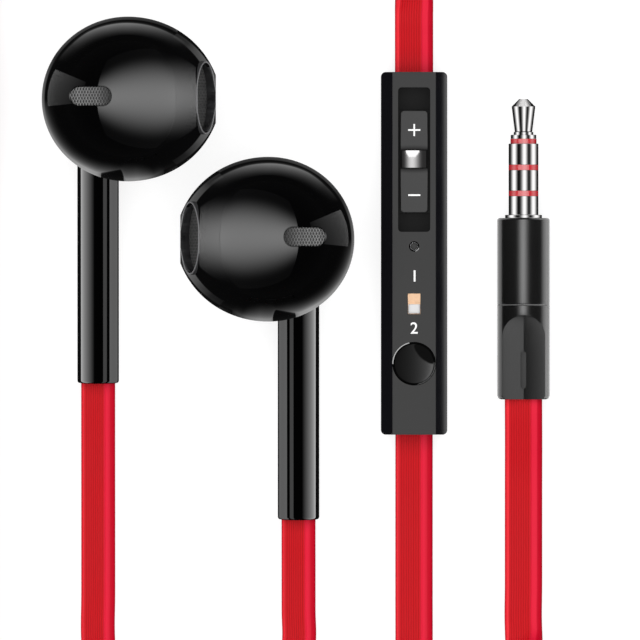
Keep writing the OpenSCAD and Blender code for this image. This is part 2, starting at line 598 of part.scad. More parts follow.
left_bud() front_shell();  // left_front_shell
left_bud() back_shell();  // left_back_shell
left_bud() stem();  // left_stem
left_bud() nozzle_grille();  // left_nozzle_grille
left_bud() vent_mesh();  // left_vent_mesh
left_bud() driver_frame();  // left_driver_frame
left_bud() driver_magnet();  // left_driver_magnet
left_bud() voice_coil();  // left_voice_coil
left_bud() diaphragm();  // left_diaphragm
left_bud() cord_anchor();  // left_cord_anchor
right_bud() front_shell();  // right_front_shell
right_bud() back_shell();  // right_back_shell
right_bud() stem();  // right_stem
right_bud() nozzle_grille();  // right_nozzle_grille
right_bud() vent_mesh();  // right_vent_mesh
right_bud() driver_frame();  // right_driver_frame
right_bud() driver_magnet();  // right_driver_magnet
right_bud() voice_coil();  // right_voice_coil
right_bud() diaphragm();  // right_diaphragm
right_bud() cord_anchor();  // right_cord_anchor
box_rear_shell();
box_face_plate();
box_circuit_board();
box_cord_clamps();
volume_potentiometer();
volume_slider();
volume_grip();
microphone();
mode_switch_frame();
mode_switch_base();
mode_switch_knob();
call_button();
button_dome_switch();
plug_tip();
plug_ring_1();
plug_ring_2();
plug_sleeve();
plug_insulators();
plug_core();
plug_grip_front();
plug_grip_rear();
cord(left_route, branch_w, undef, first_turn(left_hank));  // left_cord
hank(left_hank, left_route, left_tail_route);  // left_cord_hank
cord(left_tail_route, branch_w, last_turn(left_hank));  // left_cord_tail
cord(right_route, branch_w, undef, first_turn(right_hank));  // right_cord
hank(right_hank, right_route, right_tail_route);  // right_cord_hank
cord(right_tail_route, branch_w, last_turn(right_hank));  // right_cord_tail
cord(plug_route, main_w, undef, last_turn(main_hank));  // plug_cord
hank(main_hank, box_route, plug_from_hank);  // main_cord_hank
cord(box_route, main_w, undef, first_turn(main_hank));  // box_cord
cord(upper_route, upper_w);  // upper_cord
cord_splitter();
hank_tie(left_hank);  // left_hank_tie
hank_tie(right_hank);  // right_hank_tie
hank_tie(main_hank);  // main_hank_tie
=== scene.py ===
import json
from math import asin, atan, copysign, cos, exp, hypot, pi, radians, sin, tan
import bpy, bmesh
from mathutils import Matrix, Vector
from mathutils.bvhtree import BVHTree
from mathutils.interpolate import poly_3d_calc


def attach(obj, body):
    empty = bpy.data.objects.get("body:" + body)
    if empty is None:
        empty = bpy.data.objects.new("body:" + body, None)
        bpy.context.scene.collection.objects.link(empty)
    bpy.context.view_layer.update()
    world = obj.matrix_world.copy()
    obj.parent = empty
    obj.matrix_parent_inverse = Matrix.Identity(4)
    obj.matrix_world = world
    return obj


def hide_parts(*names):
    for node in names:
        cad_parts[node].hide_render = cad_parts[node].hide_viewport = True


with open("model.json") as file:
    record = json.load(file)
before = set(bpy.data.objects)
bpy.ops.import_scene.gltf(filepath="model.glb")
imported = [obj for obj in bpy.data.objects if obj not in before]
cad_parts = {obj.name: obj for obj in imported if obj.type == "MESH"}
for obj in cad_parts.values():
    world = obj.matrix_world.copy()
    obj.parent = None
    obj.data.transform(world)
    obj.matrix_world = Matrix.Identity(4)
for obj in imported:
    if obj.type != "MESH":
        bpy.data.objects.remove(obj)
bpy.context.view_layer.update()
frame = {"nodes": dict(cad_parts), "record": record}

MM = 0.001
X, Y, Z = Vector((1, 0, 0)), Vector((0, 1, 0)), Vector((0, 0, 1))
nodes = frame["nodes"]
scene = bpy.context.scene


def placed(name, data):
    """A new object of the scene."""
    made = bpy.data.objects.new(name, data)
    scene.collection.objects.link(made)
    return made


# ---------------------------------------------------------------- camera
VIEW_MIDDLE = Vector((14.324, -6.0, 5.0)) * MM
VIEW_WIDTH = 75.294 * MM
CAMERA_HEIGHT = 3.0

camera = placed("camera", bpy.data.cameras.new("camera"))
camera.data.lens = camera.data.sensor_width * CAMERA_HEIGHT / VIEW_WIDTH
camera.data.clip_start, camera.data.clip_end = 0.1, 50
camera.location = VIEW_MIDDLE + Vector((0, 0, CAMERA_HEIGHT))
scene.camera = camera
scene.view_settings.view_transform = "Standard"

# ---------------------------------------------------------------- sizes shared with the solids, in mm
HEAD_R, HEAD_BACK, HEAD_NOSE, NOSE_TIP_R = 9.68, 10.1, 10.35, 2.8
STEM_R, STEM_LEN, STEM_BACK, STEM_SIDE = 2.44, 33.35, 5.5, 3.53
LEFT_HEAD, RIGHT_HEAD = (-8.265, 19.96, HEAD_R), (8.265, 3.49, HEAD_R)
NOZZLE_AT, NOZZLE_TILT, NOZZLE_HALF = (9.27, 0.12, 2.9), radians(30), (2.06, 4.1)
VENT_AT, VENT_R, VENT_RUN = (-4.29, 0.27), 1.15, 1.35
BOX_X, BOX_Y, BOX_LEN = 25.4, 1.845, 42.67
GRIP_Y, SLIDER_Y, BUTTON_Y, MICROPHONE_Y = 12.93, 12.64, -11.14, 2.65
CAP_HALF, CAP_CORNER, CAP_TOP, BASE_TOP, PLATE_TOP, SHEET_T = (1.6, 6.0), 0.5, 5.25, 3.8, 5.6, 0.05
END_WALL, CORD_MID = 1.5, 2.0
PLUG_X, PLUG_Z, TIP_Y, CORD_END, PIN_R, CORE_R = 38.28, 3.1, 20.01, 31.35, 1.75, 0.6
BRANCH_W, MAIN_W, UPPER_W, CORD_T = 4.0, 4.4, 4.5, 1.2
LEAN = asin(HEAD_R / hypot(STEM_LEN, STEM_BACK + STEM_R)) - atan((STEM_BACK + STEM_R) / STEM_LEN)

# ---------------------------------------------------------------- cord routes: x, y, z, turn
TURN_STEP, LAYER_GAP, WAIST, WAIST_REACH, RINGS, TIE_T = 2.2, 0.55, 4.6, 10, 24, 0.6
LEFT_HANK = (-10, -84.5, 10, 29, 2.25, BRANCH_W, 1)
RIGHT_HANK = (12, -84.5, 10, 30.5, 2.25, BRANCH_W, -1)
MAIN_HANK = (35.2, -83.5, 11.2, 33, 2.75, MAIN_W, -1)


def eased(t):
    t = max(0, min(1, t))
    return t * t * (3 - 2 * t)


def hank_point(hank, turns):
    """A point of a hank of flat cord on its edge, wound inwards below and outwards above."""
    x, y, wide, long, loops, width, side = hank
    a = wide - TURN_STEP * (loops / 2 - abs(turns - loops / 2))
    s, f = long - wide, turns % 1
    if f < 0.25:
        px, py = a, s - 8 * s * f
    elif f < 0.5:
        px, py = a * cos(-4 * pi * (f - 0.25)), a * sin(-4 * pi * (f - 0.25)) - s
    elif f < 0.75:
        px, py = -a, 8 * s * (f - 0.5) - s
    else:
        px, py = a * cos(pi - 4 * pi * (f - 0.75)), a * sin(pi - 4 * pi * (f - 0.75)) + s
    px *= side * (1 - WAIST * exp(-((py / WAIST_REACH) ** 2)) / a)
    z = TIE_T + 0.05 + width / 2 + (width + LAYER_GAP) * eased((turns - loops / 2 + 0.125) / 0.25)
    return (x + px, y + py, z, 90)


def hank_points(hank):
    return [hank_point(hank, i / RINGS) for i in range(round(hank[4] * RINGS) + 1)]


def stem_points(head):
    end_z = HEAD_R - STEM_BACK * cos(LEAN) - STEM_LEN * sin(LEAN)
    end_y = head[1] - STEM_LEN * cos(LEAN) + STEM_BACK * sin(LEAN)
    x = head[0] + (STEM_SIDE if head[0] > 0 else -STEM_SIDE)
    return [(x, end_y + d * cos(LEAN), end_z + d * sin(LEAN), 0) for d in (3.5, 0, -2)]


left_route = stem_points(LEFT_HEAD) + [
    (-11.8, -19, 1.75, 0), (-11.8, -24, 1.15, 0), (-11.8, -30, 0.82, 0), (-11.8, -38, 0.75, 0),
    (-11.8, -44, 0.85, 0), (-11.5, -46.8, 1.5, 20), (-10.5, -49.3, 1.95, 45), (-8.9, -51.6, 2.3, 70),
    (-6.9, -53.7, 2.6, 90), (-4.2, -56.7, 2.65, 90), (-1.75, -60.6, 2.65, 90), (-0.4, -63.6, 2.65, 90),
    *hank_points(LEFT_HANK),
    (0, -106.4, 7.05, 90), (-0.6, -109.8, 6.8, 90), (-2.3, -112.8, 6, 90), (-5.8, -115.4, 4.8, 90),
    (-10, -116.4, 3.6, 90), (-13.6, -116.4, 2.8, 90), (-18, -115.2, 2.4, 90), (-21.2, -112, 2.5, 90),
    (-22.3, -109.1, 2.85, 90), (-22.4, -107, 3, 90)]
right_route = stem_points(RIGHT_HEAD) + [
    (11.8, -35, 1.75, 0), (11.8, -40, 1.15, 0), (11.8, -44.5, 0.85, 0), (11.2, -47.3, 1.4, 20),
    (9.9, -49.7, 2, 45), (8.2, -52.1, 2.3, 70), (6.3, -54.6, 2.6, 90), (4.3, -57.6, 2.65, 90),
    (2.7, -61, 2.65, 90),
    *hank_points(RIGHT_HANK),
    (1.6, -109.7, 6.9, 90), (-0.2, -113.4, 6.1, 90), (-3.1, -116.4, 5.1, 90), (-6.9, -118.2, 4.1, 90),
    (-10, -118.6, 3.4, 90), (-13.6, -118.6, 2.8, 90), (-19, -117.1, 2.4, 90), (-22.9, -113.2, 2.5, 90),
    (-24.2, -109.7, 2.85, 90), (-24.4, -107, 3, 90)]
box_low, box_high = BOX_Y - BOX_LEN / 2, BOX_Y + BOX_LEN / 2
plug_back = [
    (38.3, -20, 2.3, 0), (38.3, -24, 1.3, 0), (38.3, -29, 0.85, 0), (38.3, -37, 0.75, 0),
    (38.3, -42.5, 0.9, 0), (38.5, -44.8, 1.6, 20), (39.2, -46.9, 2.6, 50), (40.4, -49, 3.7, 75),
    (42, -51.3, 4.9, 90), (43.8, -53.9, 6, 90), (45.3, -56.6, 6.9, 90), (46.2, -59.2, 7.5, 90)]
# the turn runs on past the hank, so that the cord comes out of it and into the plug unkinked
main_route = [(BOX_X, box_low + END_WALL, CORD_MID, 0), (BOX_X, box_low - 1, CORD_MID, 0),
    (25.4, -24, 1.6, 0), (25.4, -28, 1.05, 0), (25.4, -33, 0.85, 0), (25.4, -39, 0.75, 0),
    (25.4, -45, 0.9, 0), (25.35, -47.8, 1.7, 25), (25.15, -50.6, 2.3, 55), (24.7, -53.4, 2.7, 80),
    (24.2, -56.6, 2.85, 90),
    *hank_points(MAIN_HANK),
    *[(x, y, z, 180 - turn) for x, y, z, turn in reversed(plug_back)],
    (PLUG_X, TIP_Y - CORD_END - 5, PLUG_Z, 180), (PLUG_X, TIP_Y - CORD_END, PLUG_Z, 180)]
upper_route = [(BOX_X, box_high - END_WALL, CORD_MID, 0), (BOX_X, box_high + 1, CORD_MID, 0),
    (25.4, 27, 1.4, 0), (25.4, 30, 0.9, 0), (25.4, 32, 1.2, 12), (25.25, 34.1, 1.75, 32),
    (24.5, 36.3, 2.25, 58), (23, 38.5, 2.4, 80), (20.5, 40.4, 2.35, 90), (17.4, 41.5, 2.3, 90),
    *[(x, 41.8, 2.3, 90) for x in (13.5, 5, -4, -10, -13.6)],
    (-17.6, 41, 2.3, 90), (-21, 38.7, 2.3, 90), (-23.3, 35.3, 2.3, 90),
    *[(-24.1, y, 2.3, 90) for y in (31.3, 24, 12, 0, -12, -24, -36, -46)],
    (-24, -56, 2.3, 90), (-23.8, -66, 2.3, 90), (-23.5, -75, 2.35, 90), (-23.4, -83, 2.6, 90),
    (-23.4, -91, 3, 90)]


def ribbed_section(name, width, flip):
    """Closed outline of a flat cord: a chamfer, nine fine ribs, a plain band and a wide chamfer."""
    half, top = width / 2, CORD_T / 2
    face = [(0, 0.2), (0.012, 0.34), (0.05, 0.5), (0.09, 0.57)]
    for rib in range(9):
        start = 0.115 + rib * 0.0645
        face += [(start, top - 0.1), (start + 0.012, top - 0.045), (start + 0.031, top - 0.02),
                 (start + 0.05, top - 0.045)]
    face += [(0.7, top - 0.1), (0.71, top - 0.03), (0.73, top), (0.845, top), (0.862, top - 0.02),
             (0.935, 0.46), (0.985, 0.3), (1, 0.16)]
    sheet = [((f - 0.5) * width, z) for f, z in face]
    outline = sheet + [(x, -z) for x, z in reversed(sheet)]
    if flip:
        outline = [(-x, z) for x, z in reversed(outline)]
    curve = bpy.data.curves.new(name, "CURVE")
    curve.dimensions = "2D"
    line = curve.splines.new("POLY")
    line.points.add(len(outline) - 1)
    for point, (x, z) in zip(line.points, outline):
        point.co = (x * MM, z * MM, 0, 1)
    line.use_cyclic_u = True
    return bpy.data.objects.new(name, curve)


def cord_curve(name, route, width, flip=False):
    """A flat cord along its route, flat or on its edge as each point's turn says."""
    curve = bpy.data.curves.new(name, "CURVE")
    curve.dimensions, curve.twist_mode, curve.resolution_u = "3D", "Z_UP", 6
    curve.use_fill_caps = True
    curve.bevel_mode, curve.bevel_object = "OBJECT", ribbed_section(name + "_section", width, flip)
    line = curve.splines.new("BEZIER")
    line.bezier_points.add(len(route) - 1)
    for point, (x, y, z, turn) in zip(line.bezier_points, route):
        point.co = Vector((x, y, z)) * MM
        point.handle_left_type = point.handle_right_type = "AUTO"
        point.tilt = radians(turn)
    cord = placed(name, curve)
    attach(cord, "earphones")
    return cord


left_cord = cord_curve("left_branch_cord", left_route, BRANCH_W, flip=True)
right_cord = cord_curve("right_branch_cord", right_route, BRANCH_W, flip=True)
main_cord = cord_curve("main_cord", main_route, MAIN_W, flip=True)
upper_cord = cord_curve("splitter_cord", upper_route, UPPER_W)
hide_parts("left_cord", "left_cord_hank", "left_cord_tail")
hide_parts("right_cord", "right_cord_hank", "right_cord_tail")
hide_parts("box_cord", "main_cord_hank", "plug_cord")
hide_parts("upper_cord")


# ---------------------------------------------------------------- node groups
class Value:
    """A number that changes over a surface, worked out with math nodes."""

    def __init__(self, tree, socket):
        self.tree, self.socket = tree, socket

    def math(self, operation, *others):
        return maths(self.tree, operation, self, *others)

    def __add__(self, other):
        return self.math("ADD", other)

    def __sub__(self, other):
        return self.math("SUBTRACT", other)

    def __rsub__(self, other):
        return maths(self.tree, "SUBTRACT", other, self)

    def __mul__(self, other):
        return self.math("MULTIPLY", other)

    def __truediv__(self, other):
        return self.math("DIVIDE", other)

    def __rtruediv__(self, other):
        return maths(self.tree, "DIVIDE", other, self)

    def __neg__(self):
        return self * -1

    def __abs__(self):
        return self.math("ABSOLUTE")

    def __gt__(self, other):
        return self.math("GREATER_THAN", other)

    def __lt__(self, other):
        return self.math("LESS_THAN", other)


def connect(tree, made, values):
    """Links a node's inputs to values that change over the surface, and sets the others."""
    for key, value in values.items():
        value = value.socket if isinstance(value, Value) else value
        if isinstance(value, bpy.types.NodeSocket):
            tree.links.new(value, made.inputs[key])
        else:
            made.inputs[key].default_value = value


def node(tree, kind, values=None, **settings):
    made = tree.nodes.new("ShaderNode" + kind)
    for key, value in settings.items():
        setattr(made, key, value)
    connect(tree, made, values or {})
    return made


def maths(tree, operation, *values, clamp=False):
    made = node(tree, "Math", dict(enumerate(values)), operation=operation, use_clamp=clamp)
    return Value(tree, made.outputs[0])


def least(a, b):
    return a.math("MINIMUM", b)


def most(a, b):
    return a.math("MAXIMUM", b)


def distance(x, y):
    return (x * x + y * y).math("SQRT")


def ranged(value, low, high, to_low=0.0, to_high=1.0):
    made = node(value.tree, "MapRange", {"Value": value, "From Min": low, "From Max": high,
                                         "To Min": to_low, "To Max": to_high})
    return Value(value.tree, made.outputs["Result"])


def bell(value, at, width):
    """1 at the value at, and less on both sides of it."""
    t = (value - at) / width
    return (t * t * -1.0).math("EXPONENT")


def fading(value, at, length):
    """1 at the value at, and less by a factor e for each length past it."""
    return ((at - value) / length).math("EXPONENT")


def between(value, low, high, soft):
    """1 between low and high, fading to 0 within soft of both."""
    return least(ranged(value, low - soft, low + soft), ranged(value, high + soft, high - soft))


def object_place(tree):
    return node(tree, "TexCoord").outputs["Object"]


def split(tree, vector):
    return [Value(tree, part) for part in node(tree, "SeparateXYZ", {0: vector}).outputs]


def noise(tree, vector, scale, detail=2.0):
    made = node(tree, "TexNoise", {"Vector": vector, "Scale": scale, "Detail": detail})
    return Value(tree, made.outputs["Fac"])


def bump(tree, height, strength, depth):
    return node(tree, "Bump", {"Height": height, "Strength": strength, "Distance": depth}).outputs[0]


def toned(tree, colour, tone):
    return node(tree, "HueSaturation", {"Color": colour, "Value": tone}).outputs[0]


def blend_colour(tree, factor, a, b):
    return node(tree, "Mix", {0: factor, 6: a, 7: b}, data_type="RGBA").outputs[2]


def colour_ramp(tree, factor, stops):
    """A ramp through stops of (place, colour)."""
    ramp = node(tree, "ValToRGB", {"Fac": factor})
    points = ramp.color_ramp.elements
    while len(points) < len(stops):
        points.new(0.5)
    for point, (place, _) in zip(points, stops):
        point.position = place
    for point, (_, colour) in zip(points, stops):
        point.color = colour
    return ramp


def group(name, inputs, outputs):
    """A shader node group; inputs are (name, kind, value), outputs are (name, kind)."""
    tree = bpy.data.node_groups.new(name, "ShaderNodeTree")
    for label, kind, value in inputs:
        socket = tree.interface.new_socket(label, in_out="INPUT", socket_type="NodeSocket" + kind)
        socket.default_value = value
    for label, kind in outputs:
        tree.interface.new_socket(label, in_out="OUTPUT", socket_type="NodeSocket" + kind)
    return tree, tree.nodes.new("NodeGroupInput").outputs, tree.nodes.new("NodeGroupOutput")


def make_moulded_surface():
    """Fine grain of a moulded part: two scales of noise in its roughness, its tone and its relief."""
    tree, given, out = group("moulded_surface", [
        ("Colour", "Color", (0.5, 0.5, 0.5, 1)), ("Grain", "Float", 9000.0), ("Relief", "Float", 0.1),
        ("Low Roughness", "Float", 0.4), ("High Roughness", "Float", 0.5), ("Tone", "Float", 0.1)],
        [("Colour", "Color"), ("Roughness", "Float"), ("Normal", "Vector")])
    place = object_place(tree)
    fine = noise(tree, place, given["Grain"])
    even = fine * 0.4 + noise(tree, place, 160.0, 4.0) * 0.6
    connect(tree, out, {
        "Colour": toned(tree, given["Colour"], (even - 0.5) * given["Tone"] + 1.0),
        "Roughness": ranged(even, 0.35, 0.65, given["Low Roughness"], given["High Roughness"]),
        "Normal": bump(tree, fine, given["Relief"], 0.02 * MM)})
    return tree


def make_turned_metal():
    """Lathe marks square to +Y, with drawn-out smudges."""
    tree, given, out = group("turned_metal", [
        ("Marks", "Float", 9000.0), ("Relief", "Float", 0.1), ("Low Roughness", "Float", 0.1),
        ("High Roughness", "Float", 0.2)], [("Roughness", "Float"), ("Normal", "Vector")])
    place = object_place(tree)
    drawn = node(tree, "Mapping", {"Vector": place, "Scale": (0.02, 1.0, 0.02)}).outputs[0]
    marks = noise(tree, drawn, given["Marks"], 3.0)
    uneven = marks * 0.5 + noise(tree, place, 420.0, 3.0) * 0.5
    connect(tree, out, {
        "Roughness": ranged(uneven, 0.35, 0.65, given["Low Roughness"], given["High Roughness"]),
        "Normal": bump(tree, marks, given["Relief"], 0.01 * MM)})
    return tree


def make_perforations():
    """Staggered oval holes on X and Y: a mask that is 1 on the metal between them, and its height."""
    tree, given, out = group("perforations", [
        ("Vector", "Vector", (0, 0, 0)), ("Across", "Float", 0.34 * MM), ("Along", "Float", 0.36 * MM),
        ("Hole", "Float", 0.3), ("Stretch", "Float", 1.45)], [("Mask", "Float"), ("Height", "Float")])
    x, y, _ = split(tree, given["Vector"])
    row = y / given["Along"]
    column = x / given["Across"] + row.math("FLOOR").math("MODULO", 2.0) * 0.5
    across = (column.math("FRACT") - 0.5) / given["Hole"]
    along = (row.math("FRACT") - 0.5) / (Value(tree, given["Hole"]) * given["Stretch"])
    away = distance(across, along)
    connect(tree, out, {"Mask": ranged(away, 0.75, 1.1), "Height": ranged(away, 0.6, 1.35)})
    return tree


def make_woven_wires():
    """Square weave seen along Z: a mask that is 1 on a wire, and the wires' height."""
    tree, given, out = group("woven_wires", [
        ("Vector", "Vector", (0, 0, 0)), ("Pitch", "Float", 0.3 * MM), ("Wire", "Float", 0.6)],
        [("Mask", "Float"), ("Height", "Float")])
    steps = node(tree, "VectorMath", {0: given["Vector"], "Scale": 1.0 / Value(tree, given["Pitch"])},
                 operation="SCALE").outputs[0]
    x, y, _ = split(tree, steps)
    heights = []
    for along, across, swing in ((x, y, 0.35), (y, x, -0.35)):
        reach = abs(across.math("FRACT") - 0.5) / (Value(tree, given["Wire"]) * 0.5)
        round_top = maths(tree, "SUBTRACT", 1.0, reach * reach, clamp=True).math("SQRT")
        wave = (along * pi + across.math("FLOOR") * pi).math("SINE") * swing
        heights.append((round_top + wave + 0.4) * (round_top > 0.02))
    tallest = most(*heights)
    connect(tree, out, {"Mask": tallest > 0.05, "Height": tallest})
    return tree


moulded_surface = make_moulded_surface()
turned_metal = make_turned_metal()
woven_wires = make_woven_wires()
perforations = make_perforations()


# ---------------------------------------------------------------- materials
looks = {}


def new_material(name):
    """Makes a material and keeps it in looks by its name."""
    made = looks[name] = bpy.data.materials.new(name)
    made.use_nodes = True
    return made.node_tree, made.node_tree.nodes["Principled BSDF"]


def moulded(name, colour, rough, grain=9000.0, relief=0.1, tone=0.15, ior=1.5, specular=0.5):
    """A moulded plastic part. rough is its lowest and highest roughness, and colour may be a function
    that makes a colour which changes over the part."""
    tree, surface = new_material(name)
    skin = node(tree, "Group", {
        "Colour": colour(tree) if callable(colour) else (*colour, 1), "Grain": grain, "Relief": relief,
        "Low Roughness": rough[0], "High Roughness": rough[1], "Tone": tone},
        node_tree=moulded_surface).outputs
    connect(tree, surface, {"Base Color": skin["Colour"], "Roughness": skin["Roughness"],
                            "Normal": skin["Normal"], "IOR": ior, "Specular IOR Level": specular})


def metal(name, colour, rough, marks=9000.0, relief=0.1):
    tree, surface = new_material(name)
    skin = node(tree, "Group", {"Marks": marks, "Relief": relief, "Low Roughness": rough[0],
                                "High Roughness": rough[1]}, node_tree=turned_metal).outputs
    connect(tree, surface, {"Base Color": (*colour, 1), "Metallic": 1.0, "Roughness": skin["Roughness"],
                            "Normal": skin["Normal"]})


def woven(name, thread_colour, gap_colour, pitch, thread, rough):
    """A flat woven sheet; thread is a thread's width in pitches."""
    tree, surface = new_material(name)
    place = object_place(tree)
    weave = node(tree, "Group", {"Vector": place, "Pitch": pitch, "Wire": thread},
                 node_tree=woven_wires).outputs
    mask = Value(tree, weave["Mask"])
    threads = toned(tree, (*thread_colour, 1), ranged(noise(tree, place, 700.0), 0.3, 0.7, 0.8, 1.1))
    connect(tree, surface, {
        "Base Color": blend_colour(tree, mask, (*gap_colour, 1), threads),
        "Roughness": ranged(mask, 0, 1, 0.9, rough),
        "Normal": bump(tree, weave["Height"], 0.9, pitch * 0.25)})


def perforated(name, colour, hole_colour, turn=0, painted_fall=(0, 1, 1, 1)):
    """Metal mesh; turn, in degrees about Y, lays its holes in its plane, and the last argument is (near, far,
    low, high): painted light and shade, which takes its tone from low to high between two distances from the
    middle of the pair of buds."""
    tree, surface = new_material(name)
    place = object_place(tree)
    laid = node(tree, "Mapping", {"Vector": place, "Rotation": (0, radians(turn), 0)}).outputs[0]
    holes = node(tree, "Group", {"Vector": laid}, node_tree=perforations).outputs
    mask = Value(tree, holes["Mask"])
    # painted light and shade: the tone rises from low to high with the distance from the middle, times a
    # random tone
    tone = ranged(abs(split(tree, place)[0]), *painted_fall) * ranged(noise(tree, place, 900.0), 0.3, 0.7, 0.9, 1.1)
    connect(tree, surface, {
        "Base Color": blend_colour(tree, mask, (*hole_colour, 1), toned(tree, (*colour, 1), tone)),
        "Metallic": mask * 0.6, "Roughness": ranged(mask, 0, 1, 0.8, 0.42),
        "Normal": bump(tree, holes["Height"], 0.8, 0.06 * MM)})


def cord_painted_light(tree):
    """The cord's red, with painted light and shade: brighter on its chamfer and plain band, which face the
    light, and darker on its wide chamfer, which faces away from it, and in its grooves.
    """
    round_section = split(tree, node(tree, "TexCoord").outputs["UV"])[1]
    across = 1.0 - abs(round_section * 2.0 - 1.0)
    reds = colour_ramp(tree, across, [
        (0.0, (0.80, 0.022, 0.036, 1)), (0.075, (0.84, 0.024, 0.038, 1)), (0.11, (0.56, 0.006, 0.012, 1)),
        (0.80, (0.56, 0.006, 0.011, 1)), (0.83, (0.74, 0.012, 0.038, 1)), (0.90, (0.74, 0.012, 0.042, 1)),
        (0.925, (0.55, 0.002, 0.018, 1)), (1.0, (0.56, 0.003, 0.02, 1))]).outputs[0]
    # painted shade: darker in the grooves between the ribs
    off_groove = abs((across * 12.0 + 0.5).math("FRACT") - 0.5)
    on_ribs = (across > 0.075) * (across < 0.84)
    return toned(tree, reds, 1.0 - ranged(off_groove, 0.28, 0.05) * (on_ribs * 0.3))


def slider_painted_shade(tree):
    """The slider's grey, with painted shade: darker in bands at both sides of its grip, where shade falls
    beside the grip.
    """
    off_grip = abs(split(tree, object_place(tree))[1] - GRIP_Y * MM)
    light = ranged(off_grip, 1.05 * MM, 1.65 * MM, 0.014, 0.054)
    return node(tree, "CombineColor", {"Red": light, "Green": light, "Blue": light}).outputs[0]


def grey(level):
    return (level, level, level)


moulded("gloss_black", (0.0014, 0.0014, 0.0016), (0.02, 0.05), grain=2500.0, relief=0.01, ior=1.9)
moulded("recess_satin", (0.045, 0.045, 0.047), (0.45, 0.6), relief=0.2, specular=0.2)
moulded("collar_grey", (0.15, 0.15, 0.155), (0.35, 0.5))
moulded("box_gloss", (0.0062, 0.0062, 0.0082), (0.1, 0.18), relief=0.03)
moulded("plate_grey", grey(0.042), (0.55, 0.7), grain=16000.0, relief=0.5, tone=0.25, specular=0.15)
moulded("slider_grey", slider_painted_shade, (0.55, 0.7), grain=16000.0, relief=0.5, tone=0.2, specular=0.15)
moulded("satin_black", grey(0.01), (0.17, 0.23), grain=14000.0)
# a light grey whose brightness is a painted highlight: the bright line at the grips' seam
moulded("seam_highlight_grey", grey(0.13), (0.45, 0.55), specular=0.2)
moulded("dark_plastic", grey(0.009), (0.45, 0.6), relief=0.3, specular=0.08)
moulded("red_plastic", (0.36, 0.012, 0.018), (0.12, 0.2), ior=1.8)
moulded("red_cord", cord_painted_light, (0.42, 0.55), grain=14000.0, relief=0.25, tone=0.12, specular=0.1)
moulded("switch_base", (0.95, 0.6, 0.36), (0.45, 0.6), relief=0.2)
moulded("switch_knob", (0.66, 0.655, 0.66), (0.35, 0.5), relief=0.2)
moulded("white_print", grey(0.93), (0.4, 0.5))
moulded("circuit_board", (0.008, 0.04, 0.018), (0.35, 0.5), relief=0.2, specular=0.25)
moulded("driver_film", (0.6, 0.55, 0.4), (0.2, 0.35), relief=0.2)
metal("bright_metal", (0.72, 0.71, 0.71), (0.06, 0.12))
metal("magnet_metal", (0.55, 0.55, 0.57), (0.25, 0.4))
metal("brass_core", (0.68, 0.5, 0.22), (0.2, 0.35))
metal("copper_wire", (0.75, 0.36, 0.17), (0.25, 0.4), marks=12000.0, relief=0.8)
# the vent mesh has painted shade: dark towards its inner end, full towards its outer end
perforated("woven_mesh", grey(0.3), grey(0.035), painted_fall=(10.4 * MM, 14 * MM, 0.06, 1.0))
perforated("left_grille_mesh", grey(0.08), grey(0.008), turn=120)
perforated("right_grille_mesh", grey(0.08), grey(0.008), turn=60)
woven("tie_fabric", (0.02, 0.02, 0.021), grey(0.006), 0.6 * MM, thread=0.9, rough=0.8)
woven("gauze", grey(0.05), grey(0.01), 0.14 * MM, thread=0.7, rough=0.7)


def wear(piece, slot, look=None):
    """Gives a piece its slot's finish, or one of its own."""
    piece.data.materials.clear()
    piece.data.materials.append(looks[look or slot])


cords = [left_cord, right_cord, main_cord, upper_cord]
for cord in cords:
    wear(cord, "red_cord")


# ---------------------------------------------------------------- pieces
def mesh_from(bm, name):
    mesh = bpy.data.meshes.new(name)
    bm.to_mesh(mesh)
    bm.free()
    return mesh


def piece_from(bm, name, slot, body="earphones", replaced=(), crease=38, look=None):
    """The finished object of a bmesh whose places are in mm."""
    bmesh.ops.scale(bm, vec=(MM, MM, MM), verts=bm.verts)
    mesh = mesh_from(bm, name)
    for face in mesh.polygons:
        face.use_smooth = True
    mesh.set_sharp_from_angle(angle=radians(crease))
    piece = placed(name, mesh)
    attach(piece, body)
    if replaced:
        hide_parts(*replaced)
    wear(piece, slot, look)
    return piece


def softened(cad_node, name, slot, body="earphones", edge=0.08, segments=2, crease=40, look=None):
    """A CAD node's own shape with its sharp edges rounded."""
    bm = bmesh.new()
    bm.from_mesh(nodes[cad_node].data)
    bmesh.ops.scale(bm, vec=(1 / MM, 1 / MM, 1 / MM), verts=bm.verts)
    bmesh.ops.remove_doubles(bm, verts=bm.verts, dist=0.002)
    bmesh.ops.dissolve_limit(bm, angle_limit=radians(0.6), verts=bm.verts, edges=bm.edges)
    sharp = [e for e in bm.edges if len(e.link_faces) == 2 and e.calc_face_angle(0) > radians(28)]
    bmesh.ops.bevel(bm, geom=sharp, offset=edge, offset_type="OFFSET", segments=segments, profile=0.5,
                    affect="EDGES", clamp_overlap=True, material=-1)
    piece = piece_from(bm, name, slot, body, (cad_node,), crease, look)
    keep = piece.modifiers.new("even_normals", "WEIGHTED_NORMAL")
    keep.keep_sharp, keep.weight = True, 100
    return piece


def spun(outlines, axis, steps, closed=True):
    """Outlines spun round an axis through the origin."""
    bm = bmesh.new()
    verts, edges = [], []
    for outline in outlines:
        line = [bm.verts.new(point) for point in outline]
        after = line[1:] + line[:1] if closed else line[1:]
        edges += [bm.edges.new(pair) for pair in zip(line, after)]
        verts += line
    bmesh.ops.spin(bm, geom=verts + edges, cent=(0, 0, 0), axis=axis, angle=2 * pi, steps=steps,
                   use_merge=True)
    bmesh.ops.remove_doubles(bm, verts=bm.verts, dist=1e-4)
    bmesh.ops.recalc_face_normals(bm, faces=bm.faces)
    return bm


